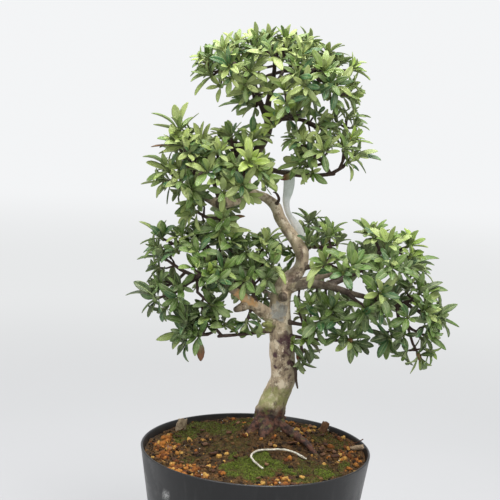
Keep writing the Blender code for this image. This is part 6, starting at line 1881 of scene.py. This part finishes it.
@dataclass
class LooseRoot:
    """A thin bleached root that arches over the soil."""
    radius: float = 0.0007

    def build(self, soil: Soil, look: bpy.types.Material) -> None:
        """A tube along the loop, a little uneven."""
        flat = np.array(LOOP) * MM
        away = np.hypot(flat[:, 0] - FOOT[0], flat[:, 1] - FOOT[1]) / soil.mound_width
        heights = soil.edge_height + soil.mound * np.exp(-away * away) + flat[:, 2] + self.radius + 0.0006
        knots = [Vector((x, y, z)) for (x, y, _), z in zip(flat, heights)]
        path = [(place, self.radius) for place in curve(knots, 8)[:-1]] + [(knots[-1], self.radius * 0.7)]
        points, faces = tube(path, 12)
        points = points + rumple(points, 0.003, 83, 2)[:, None] * 0.00018
        add_piece(solid("bleached_root_skin", points, faces, tint=0.7), look, "bleached_root")


# ---- studio

SURROUND = (0.9, 0.91, 0.92)        # the colour behind the tree


@dataclass
class Studio:
    """A pale floor, a pale surround and soft lights."""
    aim: Vector = field(default_factory=lambda: Vector((0.0, 0.0, 0.25)))
    floor_radius: float = 4.0
    surround: float = 0.85          # light that the surround gives, of what the camera sees of it
    lamps: tuple = (("key", (0.5, -0.9, 1.9), 0.9, 27.0), ("fill", (-1.3, -1.2, 0.9), 1.3, 7.0),
                    ("top", (-0.05, 0.05, 1.25), 0.8, 15.0))

    def build_floor(self) -> None:
        """A wide disc, which fades into the surround far away."""
        rings = circles([0.2, 0.6, 1.2, 2.4, self.floor_radius], 0.0, 96)
        points = np.concatenate([rings.reshape(-1, 3), [[0.0, 0.0, 0.0]]])
        floor = solid("studio_floor", points, [ring_faces(5, 96)[:, ::-1], fan_faces(5 * 96, 0, 96, False)])
        look, wire, place = new_look("floor_look", Roughness=0.9)
        shader, output = (look.node_tree.nodes[name] for name in ("Principled BSDF", "Material Output"))
        away = wire.add("VectorMath", {0: place}, operation="LENGTH").outputs["Value"]
        shade = wire.mix(wire.noise(place, 3.0, 2.0), (0.36, 0.365, 0.37), (0.39, 0.39, 0.4))
        wire.feed(shader.inputs["Base Color"], shade)
        far = wire.mix(wire.remap(away, 1.6, 3.9), (0.8, 0.81, 0.815), SURROUND)
        glow = wire.add("Emission", {"Color": far, "Strength": 1.0})
        fade = {0: wire.remap(away, 0.0, 1.35), 1: shader.outputs[0], 2: glow.outputs[0]}
        blend = wire.add("MixShader", fade)
        wire.feed(output.inputs["Surface"], blend.outputs[0])
        floor.data.materials.append(look)

    def build_lamps(self) -> None:
        """Large soft lamps, aimed at the tree."""
        for name, place, size, power in self.lamps:
            lamp = bpy.data.lights.new(name, "AREA")
            lamp.shape, lamp.size, lamp.energy = "DISK", size, power
            holder = link(name, lamp)
            holder.location = place
            holder.rotation_euler = (self.aim - Vector(place)).to_track_quat("-Z", "Y").to_euler()
        world = bpy.data.worlds.new("surround")
        world.use_nodes = True
        back = world.node_tree.nodes["Background"]
        back.inputs["Color"].default_value = (*SURROUND, 1.0)
        wire = Wiring(world.node_tree)
        seen = wire.add("LightPath").outputs["Is Camera Ray"]
        wire.feed(back.inputs["Strength"], wire.remap(seen, 0.0, 1.0, self.surround, 1.0))
        bpy.context.scene.world = world

    def build_camera(self) -> None:
        """The camera at the photograph's angle."""
        ahead = Vector((0.0, math.cos(CAMERA_PITCH), -math.sin(CAMERA_PITCH)))
        up = Vector((0.0, math.sin(CAMERA_PITCH), math.cos(CAMERA_PITCH)))
        right = Vector((1.0, 0.0, 0.0))
        turned_right = right * math.cos(CAMERA_ROLL) + up * math.sin(CAMERA_ROLL)
        turned_up = up * math.cos(CAMERA_ROLL) - right * math.sin(CAMERA_ROLL)
        data = bpy.data.cameras.new("camera")
        data.sensor_width, data.lens = 36.0, CAMERA_LENS
        data.clip_start, data.clip_end = 0.01, 50.0
        camera = link("camera", data)
        spin = Matrix((turned_right, turned_up, -ahead)).transposed().to_4x4()
        camera.matrix_world = Matrix.Translation(EYE) @ spin
        bpy.context.scene.camera = camera

    def build(self) -> None:
        """Everything round the tree."""
        self.build_floor()
        self.build_lamps()
        self.build_camera()
        bpy.context.scene.view_settings.view_transform = "Standard"


def main() -> None:
    """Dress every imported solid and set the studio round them."""
    logging.basicConfig(level=logging.INFO, format="%(name)s: %(message)s")
    Studio().build()
    effects = Effects()
    bark = BarkFinish().make(effects)
    Pot().build(PotFinish().make(effects))
    soil = Soil()
    soil.build(effects)
    Trunk().build(bark)
    Foliage().build(LeafFinish().make(effects), bark)
    Label().build(TagFinish().make(effects))
    dry = GrainFinish("dry_root", (0.48, 0.43, 0.32), (0.66, 0.63, 0.52),
                      (0.76, 0.74, 0.64), 600.0, (0.6, 0.85))
    LooseRoot().build(soil, dry.make(effects))


if __name__ == "__main__":
    main()
